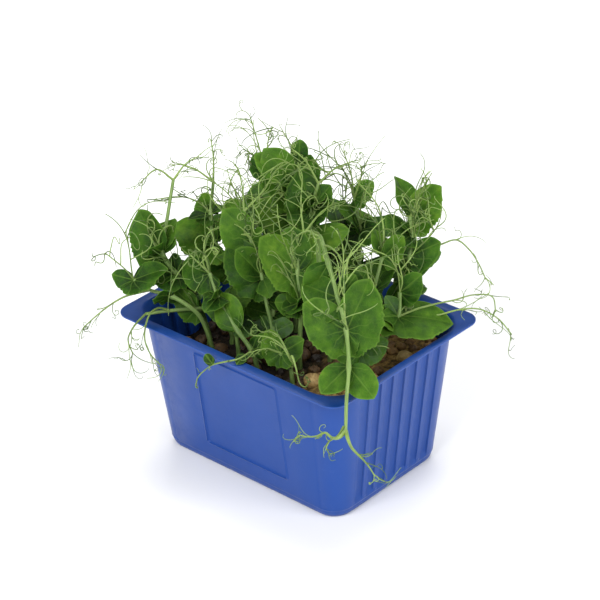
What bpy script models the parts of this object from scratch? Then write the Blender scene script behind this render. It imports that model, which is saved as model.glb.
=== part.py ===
"""Pea shoots growing in a blue thermoformed plastic tray.

The frame is in metres: X runs along the tray's long sides, Y across it, and Z is up. The origin is
the centre of the tray's underside. The tray is a tapered tub with a flat flange, fluted ends and a
plain recessed panel on each long side. It holds a block of growing medium with the sown peas in
its surface, and each shoot stands in a plain hole in it.
"""

import math
import random
from collections import namedtuple

import bmesh
import bpy
import numpy as np

MM = 0.001

# Tray: outer sizes, then the sheet it is formed from.
TRAY_LENGTH = 0.146
TRAY_WIDTH = 0.110
TRAY_HEIGHT = 0.078
BASE_LENGTH = 0.117
BASE_WIDTH = 0.0796
END_FLANGE = 0.0037
SIDE_FLANGE = 0.0049
SHEET = 0.0009
FLANGE_CORNER = 0.0083
TOP_CORNER = 0.0170
BASE_CORNER = 0.0105
SHOULDER_STEP = 0.0019
BEVEL_HEIGHT = 0.0045
BEVEL_INSET = 0.0022
CORNER_STEPS = 4

# Flutes in each end, and the panel in each long side.
FLUTES = 7
FLUTE_DEPTH = 0.0015
FLUTE_CREST = 0.28
FLUTED_SHARE = 0.98
FLUTE_STEPS = 3
FLUTE_FOOT = 0.0085
FLUTE_HEAD = 0.0740
PANEL_WIDTH = 0.0535
PANEL_MIDDLE = 0.0015
PANEL_FOOT = 0.0142
PANEL_HEAD = 0.0688
PANEL_STEP = 0.0008
PANEL_DEPTH = 0.0005

# Growing medium, the sown peas in it, and the holes that the stems stand in.
MEDIUM_FOOT = 0.0018
MEDIUM_LEVEL = 0.0570
MEDIUM_SLOPE = 0.12
MEDIUM_GAP = 0.0005
MEDIUM_WAVE = 0.0009
WAVES_PER_METRE = (95, 120)
WAVE_SHIFT = (0.6, -0.4)
MEDIUM_CORNER_STEPS = 5
MEDIUM_RING_SHARES = (1.0, 0.82, 0.58, 0.3)
PEA_RADIUS = 0.0042
PEA_SHAPE = (1.0, 0.93, 0.88)
PEA_COUNT = 16
PEA_SIDES = 7
PEA_RINGS = 5
PEA_TO_WALL = 0.0085
PEA_TO_CORNER = 0.006
PEA_TO_STEM = 0.0066
PEA_TO_PEA = 0.0088
HOLE_DEPTH = 0.0065
HOLE_GAP = 0.0005
HOLE_SIDES = 6

# Shoots.
STEM_FOOT_RADIUS = 0.0013
STEM_TIP_RADIUS = 0.0008
STEM_SIDES = 5
STEM_RING_PITCH = 0.0088
STEM_IN_MEDIUM = 0.0055
STEM_SAMPLES = 60
BLADE_THICKNESS = 0.0007
BLADE_MIDDLE = 0.55
BLADE_SAMPLE_RINGS = 11
TENDRIL_RADIUS = 0.0005
TENDRIL_TIP_RADIUS = 0.00035
TENDRIL_SIDES = 3
TENDRIL_RINGS = 7
TENDRIL_SAMPLES = 40
TENDRIL_DRIFT = 0.0002

# How leaves are set: the least and most of each bend of a blade, as a share of its length, the
# direction that leaves face besides outwards, and how much smaller one gets as it seeks room.
FOLD = (0.05, 0.32)
BEND = (0.05, 0.30)
WAVE = (0.010, 0.035)
TOWARDS_LIGHT = (0.35, -0.45, 0.75)
OUTWARDS = 1.3
EDGE_ON = 0.9
SHRINK = 0.35

# The room that leaves and tendrils keep to other shoots and to the rim.
ROOM = 0.0027
RIM_ROOM = 0.0020
TRIES = 40
SEED = 11

# A form of blade: its outline as (angle from the midrib in degrees, share of the length), the angles
# at which its edge has a point, and how deep its teeth are cut. A stipule is half a heart, whose
# toothed lobe hangs beside the stem, and a leaflet is a plain oval.
Form = namedtuple("Form", "outline rays teeth")

STIPULE = Form(
    (
        (-70, 0.14),
        (-52, 0.36),
        (-34, 0.62),
        (-18, 0.87),
        (-6, 0.98),
        (0, 1.00),
        (8, 0.96),
        (25, 0.86),
        (48, 0.76),
        (75, 0.69),
        (100, 0.63),
        (125, 0.57),
        (150, 0.52),
        (170, 0.36),
    ),
    (-62, -30, 0, 26, 50, 70, 90, 110, 130, 150, 168),
    0.13,
)
LEAFLET = Form(
    (
        (-86, 0.12),
        (-62, 0.37),
        (-42, 0.60),
        (-24, 0.84),
        (-9, 0.98),
        (0, 1.02),
        (9, 0.98),
        (24, 0.84),
        (42, 0.60),
        (62, 0.37),
        (86, 0.12),
    ),
    (-74, -45, -20, 0, 20, 45, 74),
    0.0,
)
TOOTHED_FROM = 50
TOOTH_PITCH = 40

# A stem is a root (x, y) on the medium and the points (x, y, z) it passes, in millimetres. A leaf,
# which is a stipule, and a leaflet are the number of a stem point and the reach (x, y, z) from
# there to the tip. A trail is the number of a stem point and the points a tendril passes.
Shoot = namedtuple("Shoot", "name root stem leaves trails leaflets", defaults=[()])

SHOOTS = (
    Shoot(
        "shoot_front",
        (21, 0),
        (
            (20, -4, 109),
            (21, -6, 127),
            (28, -12, 136),
            (38, -18, 128),
            (48, -23, 115),
            (57, -28, 103),
            (66, -37, 91),
            (73, -47, 81),
            (80, -56, 71),
        ),
        ((5, (-20, -8, 10)), (5, (2, 16, 20)), (4, (-20, -4, 3)), (4, (2, 11, 8))),
        (
            (8, ((77, -60, 67), (72, -61, 69), (68, -65, 67), (63, -69, 68))),
            (8, ((85, -58, 65), (93, -57, 59), (98, -57, 54))),
        ),
        ((6, (3, -17, -13)), (6, (16, -2, -9)), (3, (-5, -8, -16))),
    ),
    Shoot(
        "shoot_right_low",
        (42, 4),
        ((46, 11, 74), (50, 18, 87), (48, 22, 98)),
        ((1, (24, 19, 0)), (1, (-3, -14, 6)), (2, (9, 4, 10))),
        (
            (1, ((57, 29, 90), (67, 45, 91), (73, 54, 92), (79, 59, 88), (81, 55, 84))),
            (1, ((59, 32, 84), (70, 49, 85), (79, 57, 80), (88, 59, 72))),
        ),
    ),
    Shoot(
        "shoot_left_high",
        (-47, -15),
        ((-48, -22, 82), (-53, -29, 95), (-60, -31, 106), (-67, -19, 120), (-71, -10, 134)),
        ((2, (-15, -2, 18)), (2, (-6, 12, 13)), (0, (-12, 0, 14)), (1, (-12, -10, 4))),
        ((4, ((-70, -2, 140), (-68, 5, 142))), (4, ((-77, -15, 140), (-81, -22, 135)))),
    ),
    Shoot(
        "shoot_left_low",
        (-33, -27),
        ((-36, -32, 79), (-47, -39, 89), (-56, -45, 92), (-63, -49, 97)),
        ((3, (10, 15, 5)), (3, (-9, -6, 3)), (1, (-13, 5, 11))),
        ((2, ((-64, -56, 90), (-70, -66, 84), (-76, -73, 76))),),
    ),
    Shoot(
        "shoot_fork",
        (0, -30),
        ((-1, -32, 72), (-9, -33, 81), (-24, -30, 93), (-32, -27, 102)),
        ((3, (-17, -4, 2)),),
        (
            (3, ((-38, -28, 106), (-44, -28, 109))),
            (3, ((-39, -23, 113), (-40, -15, 119), (-34, -10, 118))),
        ),
        ((1, (-12, 1, 15)), (0, (12, 4, 9)), (0, (-9, 9, -5))),
    ),
    Shoot(
        "shoot_stalk",
        (-37, -9),
        ((-39, -16, 73), (-41, -28, 79), (-48, -40, 81), (-54, -51, 82)),
        ((1, (-10, -5, 9)), (0, (-12, 2, 5))),
        (
            (3, ((-54, -59, 79), (-53, -65, 74), (-49, -66, 68))),
            (2, ((-49, -49, 86), (-46, -58, 84), (-42, -64, 78), (-38, -65, 72), (-32, -64, 67))),
        ),
    ),
    Shoot(
        "shoot_centre",
        (3, -18),
        ((0, -17, 76), (-6, -15, 90), (-11, -12, 101), (-21, -8, 116), (-30, -3, 127)),
        ((2, (-17, -6, 16)), (2, (2, 17, 14)), (3, (-14, -3, 14)), (0, (-12, -4, 6))),
        ((4, ((-34, 1, 136), (-40, 5, 143))), (4, ((-26, 4, 134), (-22, 9, 143)))),
        ((2, (-8, -8, 15)), (0, (12, 4, 5))),
    ),
    Shoot(
        "shoot_middle",
        (12, -12),
        ((11, -9, 93), (5, -4, 106), (1, 6, 121)),
        ((1, (-15, -7, 17)), (1, (-5, 15, 16)), (0, (14, -6, 6)), (0, (-12, -6, -1))),
        ((2, ((-4, 10, 133), (-8, 16, 143))), (2, ((6, 12, 131), (13, 14, 138)))),
        ((1, (-8, 5, 19)),),
    ),
    Shoot(
        "shoot_top_left",
        (-17, 17),
        ((-19, 21, 92), (-23, 26, 111), (-26, 31, 126), (-30, 38, 136)),
        ((2, (-14, -2, 21)), (2, (-2, 12, 15)), (1, (-20, -5, 10)), (1, (-6, 14, 14))),
        ((3, ((-36, 40, 143), (-44, 42, 149))),),
        ((3, (-2, 3, 12)), (2, (-20, -7, 16))),
    ),
    Shoot(
        "shoot_top_right",
        (0, 14),
        ((-4, 18, 92), (-8, 22, 109), (-12, 26, 121), (-12, 32, 134)),
        ((2, (-9, 8, 20)), (2, (6, 10, 12)), (1, (14, 8, 8)), (0, (-14, -4, 8))),
        ((3, ((-7, 39, 141), (0, 44, 145))), (3, ((-18, 30, 145), (-24, 26, 152)))),
        ((2, (2, -1, 20)),),
    ),
    Shoot(
        "shoot_right_high",
        (31, 24),
        ((33, 31, 82), (36, 39, 95), (37, 43, 105), (34, 48, 114), (29, 53, 120)),
        ((4, (9, 12, 15)), (2, (11, 9, 8)), (3, (-12, -4, 9)), (1, (16, -5, 0))),
        ((2, ((44, 55, 108), (50, 65, 109), (59, 67, 101), (67, 65, 93))),),
        ((4, (-9, 8, 17)),),
    ),
    Shoot(
        "shoot_right_mid",
        (25, 9),
        ((28, 13, 80), (33, 19, 94), (32, 28, 109)),
        ((1, (12, 21, 11)), (1, (-11, 2, 10)), (2, (-9, 8, 10)), (2, (1, 13, 13))),
        ((2, ((29, 33, 120), (21, 38, 130), (12, 36, 139))),),
        ((0, (14, -2, 9)),),
    ),
    Shoot(
        "shoot_back_left",
        (-49, 11),
        ((-52, 10, 82), (-58, 4, 97), (-62, 6, 111), (-68, 15, 124)),
        ((1, (-20, -7, 10)), (1, (-4, 17, 11)), (2, (-10, 3, 8)), (0, (-14, -4, 6))),
        ((3, ((-73, 21, 133), (-78, 25, 140))), (3, ((-76, 11, 130), (-84, 8, 132)))),
    ),
    Shoot(
        "shoot_back_high",
        (-35, 33),
        ((-41, 36, 85), (-48, 38, 105), (-55, 40, 123)),
        ((1, (-17, 10, 10)), (1, (-2, -16, 14)), (2, (-9, 3, 8)), (0, (-14, 12, 8))),
        ((2, ((-60, 41, 136), (-66, 43, 147))), (2, ((-52, 33, 134), (-54, 25, 142)))),
    ),
    Shoot(
        "shoot_back_right",
        (2, 42),
        ((1, 46, 84), (-3, 52, 102), (-9, 55, 117)),
        ((1, (18, 11, 9)), (1, (-17, 10, 8)), (2, (3, 10, 8)), (0, (14, 13, 4))),
        ((2, ((-15, 60, 127), (-23, 64, 135))), (2, ((-5, 56, 130), (-1, 52, 139)))),
        ((1, (-4, -5, 18)), (0, (-8, -4, 17))),
    ),
    Shoot(
        "shoot_low_front",
        (27, -34),
        ((27, -35, 74), (23, -37, 82)),
        ((1, (-11, 0, 8)), (1, (9, 6, 8))),
        ((1, ((18, -42, 85), (14, -45, 82))),),
    ),
    Shoot(
        "shoot_low_left",
        (-21, -21),
        ((-23, -21, 74), (-27, -22, 82)),
        ((1, (-14, -6, 5)), (1, (-2, 15, 7))),
        (),
        ((0, (14, -3, 4)),),
    ),
    Shoot(
        "shoot_low_right",
        (47, -18),
        ((48, -15, 73), (51, -11, 81)),
        ((1, (10, 8, 6)), (1, (-4, -13, 5))),
        (),
    ),
    Shoot(
        "shoot_low_middle",
        (-15, -2),
        ((-14, -2, 73), (-17, 1, 85)),
        ((1, (-14, 6, 5)), (1, (14, 1, 6))),
        (),
        ((0, (-13, -5, 3)), (0, (12, -6, 4)), (0, (3, -14, -2))),
    ),
    Shoot(
        "shoot_low_back",
        (-27, -1),
        ((-29, 2, 77), (-35, 5, 95), (-35, 4, 115)),
        ((1, (-16, -8, 8)), (1, (-5, 16, 7)), (2, (-15, 1, 9)), (0, (-12, -8, -5))),
        ((2, ((-40, 6, 126), (-44, 3, 135))),),
    ),
    Shoot(
        "shoot_far_end",
        (-58, 37),
        ((-59, 38, 77), (-65, 42, 89)),
        ((1, (-18, 6, 7)), (1, (-6, 18, 6))),
        ((1, ((-73, 46, 97), (-81, 48, 101))),),
    ),
    Shoot(
        "shoot_back_middle",
        (-18, 43),
        ((-18, 48, 82), (-18, 53, 99)),
        ((1, (16, 12, 5)), (1, (-15, 12, 8)), (0, (-3, 17, 2))),
        ((1, ((-15, 62, 108), (-11, 67, 117))),),
    ),
    Shoot(
        "shoot_far_side",
        (24, 42),
        ((23, 47, 79), (21, 53, 93)),
        ((1, (15, 16, 3)), (1, (-10, 15, 6))),
        ((1, ((21, 59, 105), (17, 68, 113))),),
    ),
)

Leaf = namedtuple("Leaf", "form start axis lobe normal reach fold bend wave phase")


# ---- Materials -------------------------------------------------------------------------------


def plain_material(name, color, roughness):
    material = bpy.data.materials.new(name)
    material.use_nodes = True
    shader = material.node_tree.nodes["Principled BSDF"]
    shader.inputs["Base Color"].default_value = (*color, 1.0)
    shader.inputs["Roughness"].default_value = roughness
    shader.inputs["Metallic"].default_value = 0.0
    return material


# ---- Tray ------------------------------------------------------------------------------------


def wall_half(level):
    """Half the length and half the width of the tray's outside at a height. The wall leans out up
    to the flutes' heads, and from there a shoulder widens it faster up to the flange."""
    share = np.minimum(level / FLUTE_HEAD, 1)
    widened = SHOULDER_STEP * np.maximum(level - FLUTE_HEAD, 0) / (TRAY_HEIGHT - FLUTE_HEAD)
    top_x = TRAY_LENGTH / 2 - END_FLANGE - SHOULDER_STEP
    top_y = TRAY_WIDTH / 2 - SIDE_FLANGE - SHOULDER_STEP
    half_x = BASE_LENGTH / 2 + (top_x - BASE_LENGTH / 2) * share + widened
    half_y = BASE_WIDTH / 2 + (top_y - BASE_WIDTH / 2) * share + widened
    return half_x, half_y


def wall_corner(level):
    return BASE_CORNER + (TOP_CORNER - BASE_CORNER) * level / TRAY_HEIGHT


def flute_columns():
    """Places along an end, from -1 to 1 of its straight stretch, with each flute's depth there."""
    columns = [(-1.0, 0.0)]
    for flute in range(FLUTES):
        for step in range(FLUTE_STEPS + 1):
            across = step / FLUTE_STEPS
            place = (flute + FLUTE_CREST / 2 + (1 - FLUTE_CREST) * across) / FLUTES
            columns.append((FLUTED_SHARE * (2 * place - 1), math.sin(math.pi * across)))
    columns.append((1.0, 0.0))
    return columns


def tray_ring(level, half, corner, flute=0.0, panel=0.0):
    """One ring of points round the tray, with its flutes and panels sunk in by these depths."""
    half_x, half_y = half
    straight_x = half_x - corner
    straight_y = half_y - corner
    edge = PANEL_WIDTH / 2
    sunk = edge - PANEL_STEP
    around_panel = ((-edge, 0), (-sunk, panel), (sunk, panel), (edge, 0))
    side = [(-straight_x, 0)]
    side += [(PANEL_MIDDLE + place, depth) for place, depth in around_panel]
    side += [(straight_x, 0)]
    end_columns = flute_columns()
    points = []
    for turn in (1, -1):
        for place, depth in end_columns:
            points.append((turn * (half_x - flute * depth), turn * place * straight_y, level))
        for step in range(1, CORNER_STEPS):
            angle = step * math.pi / 2 / CORNER_STEPS
            x = straight_x + corner * math.cos(angle)
            y = straight_y + corner * math.sin(angle)
            points.append((turn * x, turn * y, level))
        for place, depth in side:
            points.append((-turn * place, turn * (half_y - depth), level))
        for step in range(1, CORNER_STEPS):
            angle = step * math.pi / 2 / CORNER_STEPS
            x = straight_x + corner * math.sin(angle)
            y = straight_y + corner * math.cos(angle)
            points.append((-turn * x, turn * y, level))
    return points


def shrunk(half, inset):
    return half[0] - inset, half[1] - inset


def tray_rings():
    """The rings from the underside's edge, up the outside, over the flange and down the inside."""

    def wall(level, inset, flute=0.0, panel=0.0):
        half = shrunk(wall_half(level), inset)
        return tray_ring(level, half, wall_corner(level) - inset, flute, panel)

    under = TRAY_HEIGHT - SHEET
    flange = (TRAY_LENGTH / 2, TRAY_WIDTH / 2)
    deep = FLUTE_DEPTH
    sunk = PANEL_DEPTH
    return [
        wall(0.0, BEVEL_INSET),
        wall(BEVEL_HEIGHT, 0.0),
        wall(FLUTE_FOOT, 0.0, deep),
        wall(PANEL_FOOT, 0.0, deep),
        wall(PANEL_FOOT + PANEL_STEP, 0.0, deep, sunk),
        wall(PANEL_HEAD - PANEL_STEP, 0.0, deep, sunk),
        wall(PANEL_HEAD, 0.0, deep),
        wall(FLUTE_HEAD, 0.0, deep),
        wall(under, 0.0),
        tray_ring(under, flange, FLANGE_CORNER),
        tray_ring(TRAY_HEIGHT, flange, FLANGE_CORNER),
        wall(TRAY_HEIGHT, SHEET),
        wall(FLUTE_HEAD, SHEET, deep),
        wall(FLUTE_FOOT, SHEET, deep),
        wall(BEVEL_HEIGHT, SHEET),
        wall(SHEET, BEVEL_INSET + SHEET),
    ]


def mesh_from_rings(name, rings):
    """A closed mesh skinned over rings of points, each the same length, with flat end caps."""
    mesh = bmesh.new()
    loops = [[mesh.verts.new(point) for point in ring] for ring in rings]
    count = len(loops[0])
    for low, high in zip(loops, loops[1:]):
        for i in range(count):
            j = (i + 1) % count
            mesh.faces.new((low[i], low[j], high[j], high[i]))
    mesh.faces.new(list(reversed(loops[0])))
    mesh.faces.new(loops[-1])
    return object_from_bmesh(name, mesh)


def object_from_bmesh(name, mesh):
    data = bpy.data.meshes.new(name)
    mesh.to_mesh(data)
    mesh.free()
    made = bpy.data.objects.new(name, data)
    bpy.context.scene.collection.objects.link(made)
    return made


def make_tray():
    tray = mesh_from_rings("tray", tray_rings())
    tray.data.materials.append(plain_material("blue_plastic", (0.035, 0.105, 0.42), 0.38))
    return tray


# ---- Growing medium --------------------------------------------------------------------------


def medium_height(x, y):
    """The top of the growing medium, which is uneven and has sunk at one end."""
    along = np.sin(x * WAVES_PER_METRE[0] + WAVE_SHIFT[0])
    across = np.cos(y * WAVES_PER_METRE[1] + WAVE_SHIFT[1])
    return MEDIUM_LEVEL + MEDIUM_SLOPE * x + MEDIUM_WAVE * along * across


def medium_ring(level, inset, share=1.0):
    """A plain rounded outline inside the tray's flutes and panels, shrunk to a share of itself."""
    half_x, half_y = wall_half(level)
    half_x -= SHEET + FLUTE_DEPTH + inset
    half_y -= SHEET + PANEL_DEPTH + inset
    corner = wall_corner(level) - inset
    points = []
    for quarter in range(4):
        sign_x = (1, -1, -1, 1)[quarter]
        sign_y = (1, 1, -1, -1)[quarter]
        for step in range(MEDIUM_CORNER_STEPS + 1):
            angle = (quarter + step / MEDIUM_CORNER_STEPS) * math.pi / 2
            x = sign_x * (half_x - corner) + corner * math.cos(angle)
            y = sign_y * (half_y - corner) + corner * math.sin(angle)
            points.append((x * share, y * share))
    return points


def beside_wall(x, y):
    """A place at the medium's middle level, moved as the walls lean to its height there."""
    half = wall_half(medium_height(x, y))
    middle_half = wall_half(MEDIUM_LEVEL)
    return x * half[0] / middle_half[0], y * half[1] / middle_half[1]


def medium_block():
    """The block, whose sides follow the tray and whose top slopes and rolls gently."""
    foot = MEDIUM_FOOT + BEVEL_HEIGHT
    rings = [
        [(x, y, MEDIUM_FOOT) for x, y in medium_ring(MEDIUM_FOOT, MEDIUM_GAP + BEVEL_INSET)],
        [(x, y, foot) for x, y in medium_ring(foot, MEDIUM_GAP)],
    ]
    for share in MEDIUM_RING_SHARES:
        ring = [beside_wall(x, y) for x, y in medium_ring(MEDIUM_LEVEL, MEDIUM_GAP, share)]
        rings.append([(x, y, medium_height(x, y)) for x, y in ring])
    return mesh_from_rings("growing_medium", rings)


def spaced_peas():
    """Places for the sown peas, spread over the medium clear of the stems and of each other."""
    draw = random.Random(SEED)
    half_x, half_y = shrunk(wall_half(MEDIUM_LEVEL), PEA_TO_WALL)
    corner_x, corner_y = half_x - PEA_TO_CORNER, half_y - PEA_TO_CORNER
    taken = [(shoot.root[0] * MM, shoot.root[1] * MM, PEA_TO_STEM) for shoot in SHOOTS]
    peas = []
    while len(peas) < PEA_COUNT:
        x = draw.uniform(-half_x, half_x)
        y = draw.uniform(-half_y, half_y)
        in_corner = abs(x) > corner_x and abs(y) > corner_y
        if in_corner or any(math.hypot(x - a, y - b) < room for a, b, room in taken):
            continue
        taken.append((x, y, PEA_TO_PEA))
        peas.append((x, y, draw.uniform(0.1, 0.5) * PEA_RADIUS, draw.uniform(0, math.pi)))
    return peas


def pea(name, x, y, proud, turn):
    """A slightly flattened ball with its centre a little above the medium."""
    mesh = bmesh.new()
    bmesh.ops.create_uvsphere(
        mesh, u_segments=PEA_SIDES, v_segments=PEA_RINGS, radius=PEA_RADIUS
    )
    made = object_from_bmesh(name, mesh)
    made.location = (x, y, medium_height(x, y) + proud)
    made.rotation_euler = (turn / 3, 0, turn)
    made.scale = PEA_SHAPE
    return made


def stem_hole(name, root):
    x, y = root[0] * MM, root[1] * MM
    radius = STEM_FOOT_RADIUS + HOLE_GAP
    foot = medium_height(x, y) - HOLE_DEPTH
    head = medium_height(x, y) + 2 * PEA_RADIUS
    rings = []
    for level in (foot, head):
        ring = []
        for side in range(HOLE_SIDES):
            angle = 2 * math.pi * side / HOLE_SIDES
            place = (x + radius * math.cos(angle), y + radius * math.sin(angle), level)
            ring.append(place)
        rings.append(ring)
    return mesh_from_rings(name, rings)


def combine(body, others, operation):
    """Applies one Boolean of a collection of objects to the body, and removes those objects."""
    group = bpy.data.collections.new(body.name + "_others")
    bpy.context.scene.collection.children.link(group)
    for other in others:
        bpy.context.scene.collection.objects.unlink(other)
        group.objects.link(other)
    boolean = body.modifiers.new("combine", "BOOLEAN")
    boolean.operation = operation
    boolean.operand_type = "COLLECTION"
    boolean.collection = group
    boolean.solver = "EXACT"
    graph = bpy.context.evaluated_depsgraph_get()
    graph.update()
    data = bpy.data.meshes.new_from_object(body.evaluated_get(graph))
    body.modifiers.remove(boolean)
    body.data = data
    for other in others:
        bpy.data.objects.remove(other)
    bpy.data.collections.remove(group)
    return body


def make_medium():
    medium = medium_block()
    peas = [pea(f"pea_{number}", *place) for number, place in enumerate(spaced_peas())]
    combine(medium, peas, "UNION")
    holes = [stem_hole(f"hole_{shoot.name}", shoot.root) for shoot in SHOOTS]
    combine(medium, holes, "DIFFERENCE")
    medium.data.materials.clear()
    medium.data.materials.append(plain_material("growing_medium", (0.05, 0.03, 0.015), 0.9))
    return medium


# ---- Curves ----------------------------------------------------------------------------------


def unit(vector):
    vector = np.asarray(vector, float)
    return vector / np.linalg.norm(vector)


def smooth_path(points, count):
    """Count points, evenly spaced, on the Catmull-Rom curve through the given points."""
    points = np.asarray(points, float)
    ends = np.vstack([2 * points[0] - points[1], points, 2 * points[-1] - points[-2]])
    dense = []
    for a, b, c, d in zip(ends, ends[1:], ends[2:], ends[3:]):
        for t in np.arange(16) / 16:
            bend = 2 * a - 5 * b + 4 * c - d
            twist = 3 * b - a - 3 * c + d
            dense.append(0.5 * (2 * b + (c - a) * t + bend * t * t + twist * t**3))
    dense.append(points[-1])
    dense = np.array(dense)
    run = np.concatenate([[0], np.cumsum(np.linalg.norm(np.diff(dense, axis=0), axis=1))])
    even = np.linspace(0, run[-1], count)
    return np.column_stack([np.interp(even, run, dense[:, k]) for k in range(3)])


def stem_points(shoot):
    """The stem's own points in metres: up out of its hole, then through the shoot's points."""
    x, y = shoot.root[0] * MM, shoot.root[1] * MM
    top = medium_height(x, y)
    upright = [(x, y, top + rise) for rise in (-STEM_IN_MEDIUM, 0.0, STEM_IN_MEDIUM)]
    return upright + [tuple(MM * v for v in point) for point in shoot.stem]


def tube_frames(path):
    """A pair of directions across the path at each of its points, turning as little as it can."""
    along = np.gradient(path, axis=0)
    along /= np.linalg.norm(along, axis=1)[:, None]
    first = np.cross(along[0], (0.3, 1.0, 0.2))
    frames = []
    side = unit(first)
    for direction in along:
        side = unit(side - direction * np.dot(side, direction))
        frames.append((side, np.cross(direction, side)))
    return frames


def tube(name, path, foot_radius, tip_radius, sides):
    radii = np.linspace(foot_radius, tip_radius, len(path))
    rings = []
    for place, radius, (side, other) in zip(path, radii, tube_frames(path)):
        ring = []
        for step in range(sides):
            angle = 2 * math.pi * step / sides
            ring.append(place + radius * (math.cos(angle) * side + math.sin(angle) * other))
        rings.append(ring)
    return mesh_from_rings(name, rings)


# ---- Leaves ----------------------------------------------------------------------------------


def outline_share(form, angles):
    """The blade's reach at these angles in degrees from its midrib, as a share of its length."""
    known, shares = zip(*form.outline)
    shares = np.interp(angles, known, shares)
    into = np.clip((angles - TOOTHED_FROM) / TOOTH_PITCH, 0, None)
    tooth = np.abs(2 * (into % 1.0) - 1)
    return shares * (1 - form.teeth * np.where(into > 0, 1 - tooth, 0))


def blade_points(leaf, outward, angles):
    """Points of the blade's middle surface, from 0 at its foot to 1 at its edge, at these angles."""
    reach = leaf.reach * outline_share(leaf.form, angles) * outward
    turned = np.radians(angles)
    along = reach * np.cos(turned)
    across = reach * np.sin(turned)
    rise = leaf.fold * np.abs(across) - leaf.bend * (along**2 + across**2) / leaf.reach
    rise += leaf.wave * leaf.reach * outward**2 * np.sin(3 * turned + leaf.phase)
    return (
        leaf.start
        + along[..., None] * leaf.axis
        + across[..., None] * leaf.lobe
        + rise[..., None] * leaf.normal
    )


def blade(name, leaf):
    """A closed thin blade: both faces have the same triangles, joined round the edge."""
    rays = np.array(leaf.form.rays, float)
    foot = np.array([leaf.start])
    middle = blade_points(leaf, np.full(len(rays[::2]), BLADE_MIDDLE), rays[::2])
    edge = blade_points(leaf, np.ones(len(rays)), rays)
    points = np.vstack([foot, middle, edge])
    rim = len(middle) + 1
    faces = []
    for i in range(len(middle) - 1):
        inner, following = 1 + i, 2 + i
        outer = rim + 2 * i
        faces.append((0, inner, following))
        faces.append((inner, outer, outer + 1))
        faces.append((inner, outer + 1, following))
        faces.append((following, outer + 1, outer + 2))
    border = [0, 1] + list(range(rim, len(points))) + [len(middle)]
    half = BLADE_THICKNESS / 2 * np.asarray(leaf.normal)
    mesh = bmesh.new()
    front = [mesh.verts.new(point + half) for point in points]
    back = [mesh.verts.new(point - half) for point in points]
    for a, b, c in faces:
        mesh.faces.new((front[a], front[b], front[c]))
        mesh.faces.new((back[c], back[b], back[a]))
    for a, b in zip(border, border[1:] + border[:1]):
        mesh.faces.new((front[b], front[a], back[a]))
        mesh.faces.new((front[b], back[a], back[b]))
    bmesh.ops.recalc_face_normals(mesh, faces=mesh.faces)
    return object_from_bmesh(name, mesh)


def blade_samples(leaf):
    """Points spread over the blade, close enough together to tell what it would touch."""
    rows = []
    first, last = leaf.form.rays[0], leaf.form.rays[-1]
    for outward in np.linspace(0.2, 1.0, BLADE_SAMPLE_RINGS):
        angles = np.linspace(first, last, 5 + int(24 * outward))
        rows.append(blade_points(leaf, np.full(len(angles), outward), angles))
    return np.vstack(rows)


# ---- Room ------------------------------------------------------------------------------------


def rounded_distance(x, y, half_x, half_y, corner):
    """Distance from a rounded rectangle's edge, negative inside it."""
    over_x = np.abs(x) - (half_x - corner)
    over_y = np.abs(y) - (half_y - corner)
    outside = np.hypot(np.maximum(over_x, 0), np.maximum(over_y, 0))
    return outside + np.minimum(np.maximum(over_x, over_y), 0) - corner


def clear_of_tray(points):
    """Whether every point is above the rim, outside the flange, or inside above the medium."""
    x, y, z = points.T
    half_x, half_y = wall_half(z)
    inner = rounded_distance(x, y, half_x, half_y, TOP_CORNER)
    inside = (inner < -(SHEET + FLUTE_DEPTH + RIM_ROOM)) & (z > medium_height(x, y) + 2 * RIM_ROOM)
    above = z > TRAY_HEIGHT + RIM_ROOM
    flange = rounded_distance(x, y, TRAY_LENGTH / 2, TRAY_WIDTH / 2, FLANGE_CORNER)
    outside = flange > RIM_ROOM
    return bool((inside | above | outside).all())


class Crowd:
    """The points of everything placed so far, each with the number of its shoot."""

    def __init__(self):
        self.points = np.empty((0, 3))
        self.owners = np.empty(0, int)

    def add(self, points, owner):
        self.points = np.vstack([self.points, points])
        self.owners = np.concatenate([self.owners, np.full(len(points), owner)])

    def has_room(self, points, owner, own_room=0.0):
        """Whether these points keep their distance from every other shoot, and a little one from
        the rest of their own."""
        low = points.min(axis=0) - ROOM
        high = points.max(axis=0) + ROOM
        near = ((self.points > low) & (self.points < high)).all(axis=1)
        others = self.points[near & (self.owners != owner)]
        own = self.points[near & (self.owners == owner)]
        for group, room in ((others, ROOM), (own, own_room)):
            if len(group) and room:
                gaps = ((points[:, None, :] - group[None, :, :]) ** 2).sum(axis=2)
                if gaps.min() < room * room:
                    return False
        return True


# ---- Growing the shoots ----------------------------------------------------------------------


def turned_about(vector, axis, angle):
    axis = unit(axis)
    vector = np.asarray(vector, float)
    across = np.cross(axis, vector)
    return (
        vector * math.cos(angle)
        + across * math.sin(angle)
        + axis * np.dot(axis, vector) * (1 - math.cos(angle))
    )


def leaf_frame(form, start, reach, facing, draw, loosen):
    """A leaf whose midrib lies along reach and whose face turns to facing, loosened at random."""
    size = np.linalg.norm(reach)
    axis = turned_about(unit(reach), facing, draw.uniform(-1.0, 1.0) * loosen)
    axis = turned_about(axis, np.cross(axis, facing), draw.uniform(-0.8, 0.8) * loosen)
    normal = unit(facing - axis * np.dot(facing, axis))
    normal = turned_about(normal, axis, draw.uniform(-0.9, 0.9) * (0.25 + loosen))
    lobe = np.cross(normal, axis)
    if lobe[2] > 0:
        lobe = -lobe
    size *= 1 - SHRINK * loosen
    fold = draw.uniform(*FOLD)
    bend = draw.uniform(*BEND)
    wave = draw.uniform(*WAVE)
    phase = draw.uniform(0, 2 * math.pi)
    return Leaf(form, start, axis, lobe, normal, size, fold, bend, wave, phase)


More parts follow.
